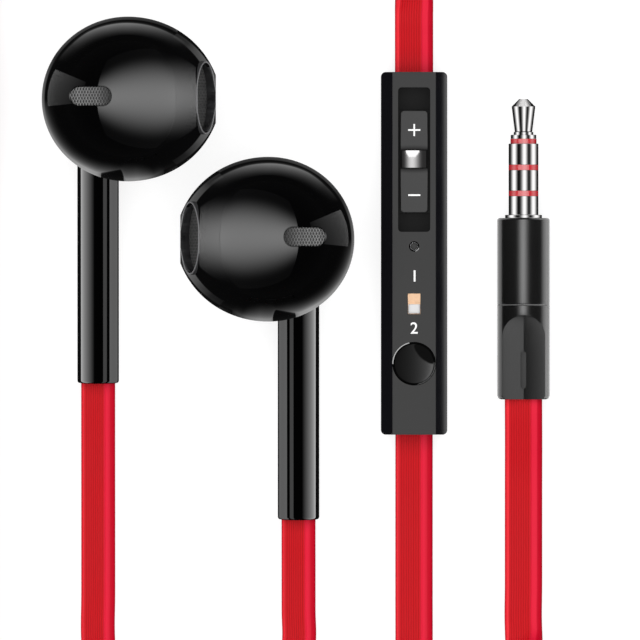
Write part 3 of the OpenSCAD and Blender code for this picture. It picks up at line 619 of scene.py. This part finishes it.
# ---------------------------------------------------------------- earbuds
def at_bud(head):
    """Place of a bud's own frame: its nose points to +X on the left bud and to -X on the right one."""
    side = Matrix.Scale(-1, 4, (1, 0, 0)) if head[0] > 0 else Matrix.Identity(4)
    return Matrix.Translation(head) @ side


def at_stem(head):
    """Place of a stem's own frame: it runs down -Y from the head."""
    return (at_bud(head) @ Matrix.Translation((-STEM_SIDE, 0, 0)) @ Matrix.Rotation(LEAN, 4, "X")
            @ Matrix.Translation((0, 0, -STEM_BACK)))


def bezier(a, b, c, d, t):
    return a * (1 - t) ** 3 + b * 3 * t * (1 - t) ** 2 + c * 3 * t * t * (1 - t) + d * t ** 3


NOSE_RADIUS = [(bezier(0, 4.6, 8.7, HEAD_NOSE, t / 60), bezier(HEAD_R, HEAD_R, 7.1, NOSE_TIP_R, t / 60))
               for t in range(61)]
NOSE_HEIGHT = [(bezier(0, 4.2, 7.2, HEAD_NOSE, t / 60), bezier(HEAD_R, HEAD_R, 7.2, 1.1, t / 60))
               for t in range(61)]


def read_off(curve, x):
    for (x0, y0), (x1, y1) in zip(curve, curve[1:]):
        if x <= x1:
            return y0 + (y1 - y0) * (x - x0) / (x1 - x0)
    return curve[-1][1]


def head_surface(back, nose, wide):
    """Closed head about +X: a round back and a nose that is flatter than it is wide."""
    outline = [(-HEAD_BACK * back * cos(a * pi / 96), HEAD_R * wide * sin(a * pi / 96)) for a in range(48)]
    outline += [(x * nose, r * wide) for x, r in NOSE_RADIUS]
    outline += [(HEAD_NOSE * nose, NOSE_TIP_R * wide * k / 4) for k in (3, 2, 1, 0)]
    bm = spun([[(x, 0, r) for x, r in outline]], X, 160, closed=False)
    for v in bm.verts:
        if v.co.x > 0:
            x = v.co.x / nose
            v.co.z *= read_off(NOSE_HEIGHT, x) / read_off(NOSE_RADIUS, x)
    return bm


NOZZLE = Matrix.Translation(NOZZLE_AT) @ Matrix.Rotation(pi / 2 - NOZZLE_TILT, 4, "Y")


def nozzle_cutter():
    bm = bmesh.new()
    bmesh.ops.create_cone(bm, cap_ends=True, segments=128, radius1=1, radius2=1, depth=4.5)
    bmesh.ops.translate(bm, vec=(0, 0, 0.75), verts=bm.verts)
    bmesh.ops.scale(bm, vec=(*NOZZLE_HALF, 1), verts=bm.verts)
    bmesh.ops.transform(bm, matrix=NOZZLE, verts=bm.verts)
    return bm


def vent_cutter():
    bm = bmesh.new()
    bmesh.ops.create_circle(bm, cap_ends=True, segments=64, radius=VENT_R)
    for v in bm.verts:
        v.co.x += VENT_RUN * (1 if v.co.x > 1e-6 else -1)
    grown = bmesh.ops.extrude_face_region(bm, geom=bm.faces[:])["geom"]
    bmesh.ops.translate(bm, vec=(0, 0, 8), verts=[v for v in grown if isinstance(v, bmesh.types.BMVert)])
    bmesh.ops.translate(bm, vec=(*VENT_AT, 6.2), verts=bm.verts)
    bmesh.ops.recalc_face_normals(bm, faces=bm.faces)
    return bm


def evaluated(obj):
    return bpy.data.meshes.new_from_object(obj.evaluated_get(bpy.context.evaluated_depsgraph_get()))


def vent_lip(surface):
    """Rounded lip along the vent's edge, found by rays straight down on the head."""
    reach = VENT_R + 0.02
    ring = []
    for way in (1, -1):
        bend = [-pi / 2 + k * pi / 40 for k in range(40)]
        ring += [(way * (VENT_RUN + reach * cos(a)), way * reach * sin(a)) for a in bend]
        ring += [(way * VENT_RUN * (1 - k / 12), way * reach) for k in range(24)]
    curve = bpy.data.curves.new("vent_lip", "CURVE")
    curve.dimensions, curve.bevel_depth, curve.bevel_resolution = "3D", 0.08, 4
    line = curve.splines.new("POLY")
    line.points.add(len(ring) - 1)
    for point, (x, y) in zip(line.points, ring):
        at, normal, _, _ = surface.ray_cast(Vector((VENT_AT[0] + x, VENT_AT[1] + y, 30)), -Z)
        point.co = (*(at - normal * 0.06), 1)
    line.use_cyclic_u = True
    made = placed("vent_lip", curve)
    mesh = evaluated(made)
    bpy.data.objects.remove(made)
    return mesh


def nozzle_collar():
    """A rounded collar round the sound opening, flat on top and standing proud of the head at its ends."""
    bm = bmesh.new()
    section = [(0.2, -2.2), (0.2, -0.1), (0.17, -0.045), (0.1, -0.02), (0.03, -0.045), (0, -0.1), (0, -1.6)]
    rings = [[bm.verts.new(NOZZLE @ Vector(((NOZZLE_HALF[0] + grow) * cos(k * pi / 64),
              (NOZZLE_HALF[1] + grow) * sin(k * pi / 64), up))) for k in range(128)] for grow, up in section]
    for low, high in zip(rings, rings[1:] + rings[:1]):
        for k in range(128):
            bm.faces.new((low[k], low[(k + 1) % 128], high[(k + 1) % 128], high[k]))
    bmesh.ops.recalc_face_normals(bm, faces=bm.faces)
    return mesh_from(bm, "collar")


def make_head_mesh():
    """The head with its sound opening and vent slot, in the left bud's frame, in mm."""
    outer = placed("head", mesh_from(head_surface(1, 1, 1), "head"))
    smooth = outer.data.copy()
    cutters = [placed("cutter", mesh_from(bm, "cutter")) for bm in (nozzle_cutter(), vent_cutter())]
    for cutter in cutters:
        cut = outer.modifiers.new("cut", "BOOLEAN")
        cut.operation, cut.solver, cut.object = "DIFFERENCE", "EXACT", cutter
    cut_mesh = evaluated(outer)
    for used in [outer, *cutters]:
        bpy.data.objects.remove(used)
    surface = BVHTree.FromPolygons([v.co for v in smooth.vertices], [p.vertices[:] for p in smooth.polygons])
    hollow = head_surface(0.885, 0.7, 0.885)
    bmesh.ops.reverse_faces(hollow, faces=hollow.faces)
    bm = bmesh.new()
    for part in (cut_mesh, mesh_from(hollow, "hollow"), nozzle_collar(), vent_lip(surface)):
        bm.from_mesh(part)
    return bm, smooth, surface


def finish_head(head, place, smooth, surface):
    """Gives the recesses and the collar their own finish, and every face on the uncut head's surface that
    surface's normals."""
    mesh = head.data
    for look in ("recess_satin", "collar_grey"):
        mesh.materials.append(looks[look])
    back = place.inverted()
    turn = place.to_3x3()
    into_nozzle = NOZZLE.inverted()
    normals = [(0, 0, 0)] * len(mesh.loops)
    corners = [[smooth.vertices[i].co for i in p.vertices] for p in smooth.polygons]
    for face in mesh.polygons:
        middle = back @ (face.center / MM)
        near, outward, _, gap = surface.find_nearest(middle)
        if gap > 0.35 and (middle - near).dot(outward) < 0:
            face.material_index = 1
        at = into_nozzle @ middle
        if -0.11 < at.z < 0 and 0.99 < hypot(at.x / NOZZLE_HALF[0], at.y / NOZZLE_HALF[1]) < 1.09:
            face.material_index = 2
        for k in face.loop_indices:
            at = back @ (mesh.vertices[mesh.loops[k].vertex_index].co / MM)
            near, _, index, gap = surface.find_nearest(at)
            if gap > 0.004:
                continue
            weights = poly_3d_calc(corners[index], near)
            normal = Vector((0, 0, 0))
            for weight, i in zip(weights, smooth.polygons[index].vertices):
                normal += weight * smooth.vertices[i].normal
            normal = (turn @ normal).normalized()
            if normal.dot(face.normal) > 0.8:
                normals[k] = normal
    mesh.normals_split_custom_set(normals)


def laid(bm, place):
    """Moves a bmesh to its place, with its faces still outward where that mirrors it."""
    bmesh.ops.transform(bm, matrix=place, verts=bm.verts)
    if place.determinant() < 0:
        bmesh.ops.reverse_faces(bm, faces=bm.faces)
    return bm


head_bm, smooth_head, smooth_surface = make_head_mesh()
heads, stems = {}, {}
for side, head, foot_more in (("left", LEFT_HEAD, 0.34), ("right", RIGHT_HEAD, -0.08)):
    heads[side] = piece_from(laid(head_bm.copy(), at_bud(head)), side + "_head", "gloss_black",
                             replaced=(side + "_front_shell", side + "_back_shell"))
    finish_head(heads[side], at_bud(head), smooth_head, smooth_surface)

    foot, seat = STEM_LEN + foot_more, STEM_LEN - 6.5
    outline = [(1.7, 3), (STEM_R, 3), (STEM_R, foot - 0.3), (STEM_R - 0.03, foot - 0.14),
               (STEM_R - 0.12, foot - 0.04), (STEM_R - 0.26, foot), (2.12, foot), (2.1, foot - 0.02),
               (2.1, seat), (1.7, seat)]
    tube = spun([[(r, 0, s) for r, s in outline]], Z, 128)
    stems[side] = piece_from(laid(tube, at_stem(head) @ Matrix.Rotation(pi / 2, 4, "X")),
                             side + "_stem_tube", "gloss_black", replaced=(side + "_stem",), crease=50)
head_bm.free()


# ---------------------------------------------------------------- control box
def shape_slider(mesh):
    """Rounder upright corners on the cap. The base under it shows only in the gap round it, and wears dark
    plastic there as painted shade in the gap.
    """
    mesh.materials.append(looks["dark_plastic"])
    inner = [half - CAP_CORNER for half in CAP_HALF]
    for vert in mesh.vertices:
        x, y, z = vert.co / MM
        x, y = x - BOX_X, y - SLIDER_Y
        out = Vector((abs(x) - inner[0], abs(y) - inner[1]))
        reach = CAP_CORNER - max(0, z - CAP_TOP + 0.07)
        on_cap = z > BASE_TOP - 0.1 and abs(x) < CAP_HALF[0] + 0.05
        if on_cap and min(out) > 0 and out.length > reach:
            out *= reach / out.length
            vert.co.x = (BOX_X + copysign(inner[0] + out.x, x)) * MM
            vert.co.y = (SLIDER_Y + copysign(inner[1] + out.y, y)) * MM
    # painted shade: the base's faces wear the dark plastic, so the gap round the cap looks dark
    for face in mesh.polygons:
        face.material_index = int(face.center.z < (BASE_TOP + 0.1) * MM)


housing = softened("box_rear_shell", "box_housing", "box_gloss", edge=0.14, segments=3)
plate = softened("box_face_plate", "box_plate", "plate_grey", edge=0.05)
slider = softened("volume_slider", "slider_cap", "plate_grey", "volume_control", edge=0.07,
                  look="slider_grey")
shape_slider(slider.data)
grip_ridge = softened("volume_grip", "slider_grip", "bright_metal", "volume_control", edge=0.06)
mode_knob = softened("mode_switch_knob", "mode_knob", "switch_knob", "mode_selector", edge=0.05)
button = softened("call_button", "button_cap", "gloss_black", "button", edge=0.04, crease=50)
box_pieces = [housing, plate, slider, grip_ridge, mode_knob, button]


# ---------------------------------------------------------------- plug, splitter and ties
def lathed(outlines, closed=True):
    """Outlines of (radius, distance from the tip), spun round the plug's axis."""
    bm = spun([[(r, TIP_Y - y, 0) for r, y in outline] for outline in outlines], Y, 96, closed)
    bmesh.ops.translate(bm, vec=(PLUG_X, 0, PLUG_Z), verts=bm.verts)
    return bm


def band(radius, start, end):
    return [(CORE_R, start), (radius, start), (radius, end), (CORE_R, end)]


tip = piece_from(lathed([[(0, 0), (0.5, 0), (1.39, 0.88), (1.39, 0.93), (1.03, 3.8), (1.0, 3.86), (1.15, 3.9),
                          (1.15, 4.2), (1.48, 4.22), (1.5, 4.26), (1.5, 4.67), (0, 4.67)]], closed=False),
                 "contact_tip", "bright_metal", replaced=("plug_tip",), crease=20)
contacts = [tip, *[softened("plug_" + name, "contact_" + name, "bright_metal", edge=0.05)
                   for name in ("ring_1", "ring_2", "sleeve")]]
insulators = piece_from(lathed([band(1.53, 4.69, 5.26), band(PIN_R, 7.74, 8.36), band(PIN_R, 10.8, 11.42)]),
                        "contact_insulators", "red_plastic", replaced=("plug_insulators",))
# the grips' joint ring is a real ring at their seam, and its light grey is a painted highlight of the seam's
# chamfers
grips = [softened("plug_grip_front", "grip_front", "satin_black", edge=0.06, segments=3),
         softened("plug_grip_rear", "grip_rear", "satin_black", edge=0.05, crease=18),
         piece_from(lathed([[(2.7, 24.12), (3.04, 24.12), (3.07, 24.17), (3.07, 24.27), (3.04, 24.32),
                             (2.7, 24.32)]]), "grip_joint_ring", "plate_grey", look="seam_highlight_grey")]
plug_pieces = [*contacts, insulators, *grips]

splitter = softened("cord_splitter", "splitter_block", "satin_black", edge=0.35, segments=4)
ties = {side: softened(side + "_hank_tie", side + "_tie", "tie_fabric", edge=0.15, segments=3)
        for side in ("left", "right", "main")}


# ---------------------------------------------------------------- marks, rims and sheets of the box
def bar(bm, x, y, z, size, thick):
    made = bmesh.ops.create_cube(bm, size=1)["verts"]
    bmesh.ops.scale(bm, vec=(*size, thick), verts=made)
    bmesh.ops.translate(bm, vec=(x, y, z), verts=made)


def printed_bars(name, bars):
    bm = bmesh.new()
    for x, y, size in bars:
        bar(bm, x, y, CAP_TOP, size, 0.03)
    return piece_from(bm, name, "switch_knob", "volume_control", look="white_print")


def printed_digit(text, x, y):
    """A plain number printed on the plate, its middle at x, y."""
    name = "digit_" + text
    letters = bpy.data.curves.new(name, "FONT")
    letters.body, letters.size, letters.align_x, letters.align_y = text, 1.9, "CENTER", "CENTER"
    letters.extrude, letters.offset = 0.012, 0.015
    made = placed(name + "_outline", letters)
    bm = bmesh.new()
    bm.from_mesh(evaluated(made))
    bpy.data.objects.remove(made)
    xs, ys, zs = zip(*[v.co for v in bm.verts])
    shift = (x - (min(xs) + max(xs)) / 2, y - (min(ys) + max(ys)) / 2, PLATE_TOP + 0.003 - sum(zs) / len(zs))
    bmesh.ops.translate(bm, vec=shift, verts=bm.verts)
    return piece_from(bm, name, "switch_knob", look="white_print")


def rim(name, y, outline):
    """A low ring on the plate round one of its round openings."""
    bm = spun([[(r, 0, z) for r, z in outline]], Z, 96)
    bmesh.ops.translate(bm, vec=(BOX_X, y, 0), verts=bm.verts)
    return piece_from(bm, name, "gloss_black", crease=25)


marks = [
    printed_bars("plus_mark", [(25.41, 16.35, (0.19, 1.43)), (25.0, 16.35, (0.62, 0.19)),
                               (25.82, 16.35, (0.62, 0.19))]),
    printed_bars("minus_mark", [(25.41, 8.69, (1.43, 0.2))]),
    printed_digit("1", 25.45, -0.82), printed_digit("2", 25.4, -6.94)]
rims = [rim("button_rim", BUTTON_Y, [(2.445, 5.5), (2.445, 5.66), (2.46, 5.67), (2.56, 5.6), (2.56, 5.5)]),
        rim("gauze_rim", MICROPHONE_Y, [(0.45, 5.5), (0.45, 5.63), (0.53, 5.64), (0.61, 5.6), (0.61, 5.5)])]

bm = bmesh.new()
bar(bm, BOX_X, 12.87, 3.05, (4.3, 17.2), SHEET_T)
slot_sheet = piece_from(bm, "slot_dust_sheet", "dark_plastic")
bm = bmesh.new()
bmesh.ops.create_cone(bm, cap_ends=True, segments=48, radius1=0.44, radius2=0.44, depth=SHEET_T)
bmesh.ops.translate(bm, vec=(BOX_X, MICROPHONE_Y, 5.2), verts=bm.verts)
gauze = piece_from(bm, "microphone_gauze", "dark_plastic", look="gauze")
small_box_pieces = [*marks, slot_sheet, gauze, *rims]

# ---------------------------------------------------------------- finishes of the CAD nodes
slots = {part["node"]: part["material_slot"] for part in frame["record"]["subparts"]}
own_looks = {side + "_nozzle_grille": side + "_grille_mesh" for side in ("left", "right")}
for name, obj in nodes.items():
    for k in range(len(obj.data.materials)):
        obj.data.materials[k] = looks[own_looks.get(name, slots[name])]

# ---------------------------------------------------------------- floor and world
FLOOR_ALBEDO, FLOOR_SEEN, FLOOR_MIRRORED = 0.35, 0.78, 0.012
floor_bm = bmesh.new()
bmesh.ops.create_grid(floor_bm, x_segments=1, y_segments=1, size=3.0)
floor = placed("floor", mesh_from(floor_bm, "floor"))
tree, surface = new_material("floor")
floor.data.materials.append(looks["floor"])
rays = node(tree, "LightPath").outputs
mirrored = most(Value(tree, rays["Is Glossy Ray"]), rays["Is Transmission Ray"])
paper = ranged(noise(tree, object_place(tree), 900.0), 0.3, 0.7, 0.98, 1.0)
connect(tree, surface, {
    "Roughness": 1.0, "Specular IOR Level": 0.0, "Base Color": paper * (1.0 - mirrored) * FLOOR_ALBEDO,
    "Emission Color": (1, 1, 1, 1),
    "Emission Strength": most(Value(tree, rays["Is Camera Ray"]) * FLOOR_SEEN, mirrored * FLOOR_MIRRORED)})

world = bpy.data.worlds.new("studio")
scene.world = world
world.use_nodes = True
tree = world.node_tree
height = split(tree, node(tree, "TexCoord").outputs["Generated"])[2]
sky = most(Value(tree, node(tree, "LightPath").outputs["Is Camera Ray"]),
           ranged(height, 0.0, 0.5, 0.016, 0.006))
connect(tree, tree.nodes["Background"], {"Color": (1, 1, 1, 1), "Strength": sky})


# ---------------------------------------------------------------- lamps
def card(name, centre, across, along, size, lit, pattern=None, radiance=1.0, own_shadow=True):
    """A flat lamp that lights only the pieces in lit. It faces -(across x along), and pattern makes its
    brightness from the places on it, in mm from its middle."""
    lamp = bpy.data.lights.new(name, "AREA")
    lamp.shape, lamp.size, lamp.size_y = "RECTANGLE", size[0] * MM, size[1] * MM
    lamp.energy = radiance * pi * lamp.size * lamp.size_y
    made = placed(name, lamp)
    across, along = Vector(across).normalized(), Vector(along).normalized()
    turn = Matrix((across, along, across.cross(along))).transposed().to_4x4()
    made.matrix_world = Matrix.Translation(Vector(centre) * MM) @ turn
    made.visible_camera = False
    if pattern:
        lamp.use_nodes = True
        tree = lamp.node_tree
        x, y, _ = split(tree, node(tree, "NewGeometry").outputs["Parametric"])
        strength = pattern((x - 0.5) * size[0], (y - 0.5) * size[1])
        connect(tree, tree.nodes["Emission"], {"Strength": strength})
    group_lit = bpy.data.collections.new(name + "_lit")
    for piece in lit:
        group_lit.objects.link(piece)
    made.light_linking.receiver_collection = group_lit
    if own_shadow:
        made.light_linking.blocker_collection = group_lit


def facing_down(name, centre, size, lit, pattern=None, radiance=1.0, own_shadow=True):
    card(name, centre, X, Y, size, lit, pattern, radiance, own_shadow)


def rim_light(name, centre, way, size, radiance, ring):
    """A card that shines along way on a ring of the plate."""
    across = way.cross(Z)
    card(name, centre, across, across.cross(way), size, [ring], radiance=radiance)


# the light on the floor round a bud: degrees from its nose over its top, level, reach and start in mm, and
# the level of the light along its edge
FLOOR_LIGHT = [
    (0, 0, 12, 24, 0.15), (12, 0, 12, 24, 0.38), (20, 0, 12, 24, 0.52), (36, 0, 12, 24, 0.32),
    (44, 0.03, 12, 24, 0.1), (60, 0.34, 13, 24.3, 0.06), (75, 0.71, 16, 23.5, 0.07),
    (90, 0.95, 17, 23.3, 0.09), (105, 0.93, 15, 22.8, 0.11), (120, 0.64, 12.5, 21.8, 0.11),
    (135, 0.17, 12, 23, 0.12), (150, 0, 6, 22, 0.05), (165, 0, 6, 20, 0.2), (180, 0, 5, 15, 0.28),
    (195, 0.49, 4.7, 14.7, 0), (210, 0.6, 5.3, 15, 0), (225, 0.78, 5.3, 15.3, 0), (240, 1.1, 6, 16.5, 0),
    (248, 1.0, 7.5, 17, 0), (251, 0.75, 8, 19.6, 0), (254, 0.5, 9, 23, 0), (260, 0.25, 9, 30, 0),
    (265, 0.17, 8, 36, 0), (267.5, 0.7, 13, 15.5, 0), (276, 0.76, 12, 15.5, 0), (283, 0.5, 8, 15.5, 0),
    (288, 0.2, 4.7, 16, 0), (296, 0.02, 5, 20, 0), (315, 0, 5, 20, 0.06), (326, 0, 5, 20, 0.26),
    (338, 0, 5, 20, 0.68), (343, 0, 5, 20, 0.13)]
TOP_LEVEL, TOP_REACH = 1.5, 25.0


def glow_pattern(out):
    """Light on the floor round a bud; out is the way of its back along X."""
    def pattern(x, y):
        away = distance(x, y)
        to_nose = x * -out
        turn = (-y).math("ARCTAN2", to_nose) / (2 * pi)
        ramp = colour_ramp(x.tree, (turn + 1.0).math("FRACT"), [
            (angle / 360, (level / TOP_LEVEL, reach / TOP_REACH, start / TOP_REACH, edge))
            for angle, level, reach, start, edge in FLOOR_LIGHT]).outputs
        level, reach, start = split(x.tree, ramp["Color"])
        start = start * TOP_REACH
        past = fading(away, start, reach * TOP_REACH)
        near = fading(start, away, 8.0 - (start > 19.5) * 7.2)
        by_nose = to_nose > away * 0.57
        shoulder = by_nose * between(away, 17.9, 28.2, 0.6)
        ring = (1.0 - by_nose) * between(away, 9.0, 16.8, 0.5)
        return level * TOP_LEVEL * least(past, near) + (shoulder + ring) * Value(x.tree, ramp["Alpha"])
    return pattern


def window_pattern(out):
    return lambda x, y: (0.175 - y * 0.022) * (x * (0.1 * out) + 1.1)


def nose_pattern(out):
    """Brighter and wider towards the card's top, where its cut sides lean out."""
    def pattern(x, y):
        level, width, half = (ranged(y, -4.4, 4.4, *ends) for ends in ((0.9, 1.61), (3.3, 6.6), (3.2, 19.9)))
        past = abs(x + 0.9 * out) - half
        return level * bell(x, -0.5 * out, width) * ranged(past, -0.25, 0.25, 1.0, 0.0)
    return pattern


def stem_side_pattern(x, y):
    """Brightest along the lower edge of the card."""
    return most(fading(y + 10.6, 0, 4.6) * 3.6 - 0.08, 0)


def button_pattern(x, y):
    """A soft glow from the right, with a round gap at its upper corner."""
    glow = least(fading(1.75, x, 1.05), 1.2) * 0.85
    return glow * ranged(distance(x - 2.2, y - 2.2), 2.15, 2.3) + 0.05


def ridge_pattern(x, y):
    """The ridge's soft upright streak, with a bright patch at its far end."""
    off_patch = abs(x + 1.3) - ranged(y, 0.3, 0.95, 2.0, 4.6)
    patch = ranged(off_patch, 0.3, -0.3) * ranged(y, 0.25, 0.35)
    return most(bell(x, -1.3, 3.4) * 0.9, patch * 1.5) + 0.03


def scoop_pattern(x, y):
    """Even over the scoop's left plane, and rising from nothing at the fold over its right one."""
    return ranged(x, -2.7, 0.0, 0.0, 0.95) * (x < 0.0) + (x > 0.0) * (x < 4.2) * 1.65


OVERHEAD_HIGH, OVERHEAD_TILT = 250, radians(25)
low_edge, far_edge = -OVERHEAD_HIGH * tan(radians(64.3)), OVERHEAD_HIGH * tan(radians(55))
for side, head, out in (("left", LEFT_HEAD, -1), ("right", RIGHT_HEAD, 1)):
    hx, hy, hz = head
    nose_way = Vector((-out * cos(OVERHEAD_TILT), 0, -sin(OVERHEAD_TILT)))
    face_way = Vector((-out * sin(OVERHEAD_TILT), 0, cos(OVERHEAD_TILT)))
    middle = Vector((hx, hy + 15, hz)) + face_way * OVERHEAD_HIGH + nose_way * (low_edge + far_edge) / 2
    card(side + "_overhead", middle, nose_way * -out, Y, (far_edge - low_edge, 5.8 * OVERHEAD_HIGH),
         [heads[side]], lambda x, y: bell(y, 0, 0.72 * OVERHEAD_HIGH) + 0.01, radiance=1.75)
    card(side + "_window", (hx + out * 12.8, hy + 2.1, 16.25), (0, out, 0), Z, (6.6, 12.9),
         [heads[side]], window_pattern(out))
    card(side + "_nose", (hx - out * 14, hy, 14.26), (0, -out, 0), Z, (40, 8.52),
         [heads[side], nodes[side + "_nozzle_grille"]], nose_pattern(out))
    card(side + "_floor_glow", (hx, hy, 0.3), X, -Y, (160, 160), [heads[side]], glow_pattern(out))

    way = Vector((out, 0, 0))
    along, up = Vector((0, cos(LEAN), sin(LEAN))), Vector((0, -sin(LEAN), cos(LEAN)))
    half_way = at_stem(head) @ Vector((0, -STEM_LEN / 2, 0))
    card(side + "_stem_side", half_way + way * 6 + up * 10.5, along * out, up, (50, 21.4),
         [stems[side]], stem_side_pattern)
    card(side + "_stem_strip", half_way - way * 25.2 + up * 30, X, along, (19, 160), [stems[side]],
         radiance=0.52)
    card(side + "_stem_band", half_way - way * 5 + up * 0.55, along * -out, up, (44, 5.9),
         [stems[side]], lambda x, y: y * 0.11 + 0.83)

facing_down("button_glow", (BOX_X, BUTTON_Y, 6.5), (7, 7), [button], button_pattern)
facing_down("ridge_glow", (BOX_X, GRIP_Y, 12), (26, 6), [grip_ridge], ridge_pattern)
facing_down("window_light", (BOX_X, -4.1, 20), (30, 30), [nodes["mode_switch_base"]], radiance=3.3)
card("box_edge_glow", (BOX_X + 6.4, BOX_Y, 4.1), Y, Z, (BOX_LEN, 1.8), [housing],
     lambda x, y: bell(y, -0.5, 0.33) * 2.0)
rim_light("button_rim_light", (BOX_X - 9.4, -3.8, 11.6), Vector((9.4, -7.4, -6)), (20, 8), 5.0, rims[0])
rim_light("gauze_rim_light", (BOX_X + 8.4, -5.8, 11.6), Vector((-8.4, 8.4, -6)), (12, 8), 4.0, rims[1])

pin_pieces = [*contacts, insulators]
card("contacts_left", (PLUG_X - 6, 10, 5.6), -Y, Z, (60, 9), pin_pieces,
     lambda x, y: bell(y, -0.1, 2.3) * 1.5)
facing_down("contacts_top", (PLUG_X + 1.2, 10, 13.1), (14, 60), pin_pieces,
            lambda x, y: bell(x, 0.0, 3.0) * 1.5)
card("contacts_right", (PLUG_X + 4.4, 10, 4.7), Y, Z, (60, 8), pin_pieces,
     lambda x, y: bell(y, 0.0, 1.65) * 1.5)
card("tip_glow", (PLUG_X, TIP_Y + 3, 2.8), Z, X, (5.4, 7), [tip], lambda x, y: bell(y, -0.2, 2.6))
facing_down("grip_streak", (PLUG_X, 12, PLUG_Z + 20), (36, 34.8), grips,
            lambda x, y: bell(x, -0.6, 5.4) * 5.8)
facing_down("scoop_glow", (PLUG_X, -22.7, PLUG_Z + 8), (14, 34), grips, scoop_pattern)
card("grip_left_glow", (PLUG_X - 9, -3, 0.06), Y, X, (60, 11), grips, radiance=1.3)
card("grip_right_glow", (PLUG_X + 8, -3, 3.3), Y, Z, (60, 6.4), grips,
     lambda x, y: ranged(y, 3.1, 0.6, 0.0, 2.5))
card("grip_low_glow", (PLUG_X + 5.7, -3, 0.06), Y, X, (60, 4.6), grips, radiance=1.5)

# the glossy pieces have their own lamps, and everything else takes the light of the room from one above
glossy = [*heads.values(), *stems.values()]
own_light = [*glossy, button, grip_ridge, *contacts, *grips, *rims]
others = [o for o in scene.collection.objects if o.type in ("MESH", "CURVE") and o not in own_light]
facing_down("overhead", (14, -6, 600), (1100, 1100), others, radiance=2.2, own_shadow=False)
for piece in [*cords, *glossy, *box_pieces, *small_box_pieces, *plug_pieces, splitter, *nodes.values()]:
    piece.visible_glossy = False

bpy.context.view_layer.update()
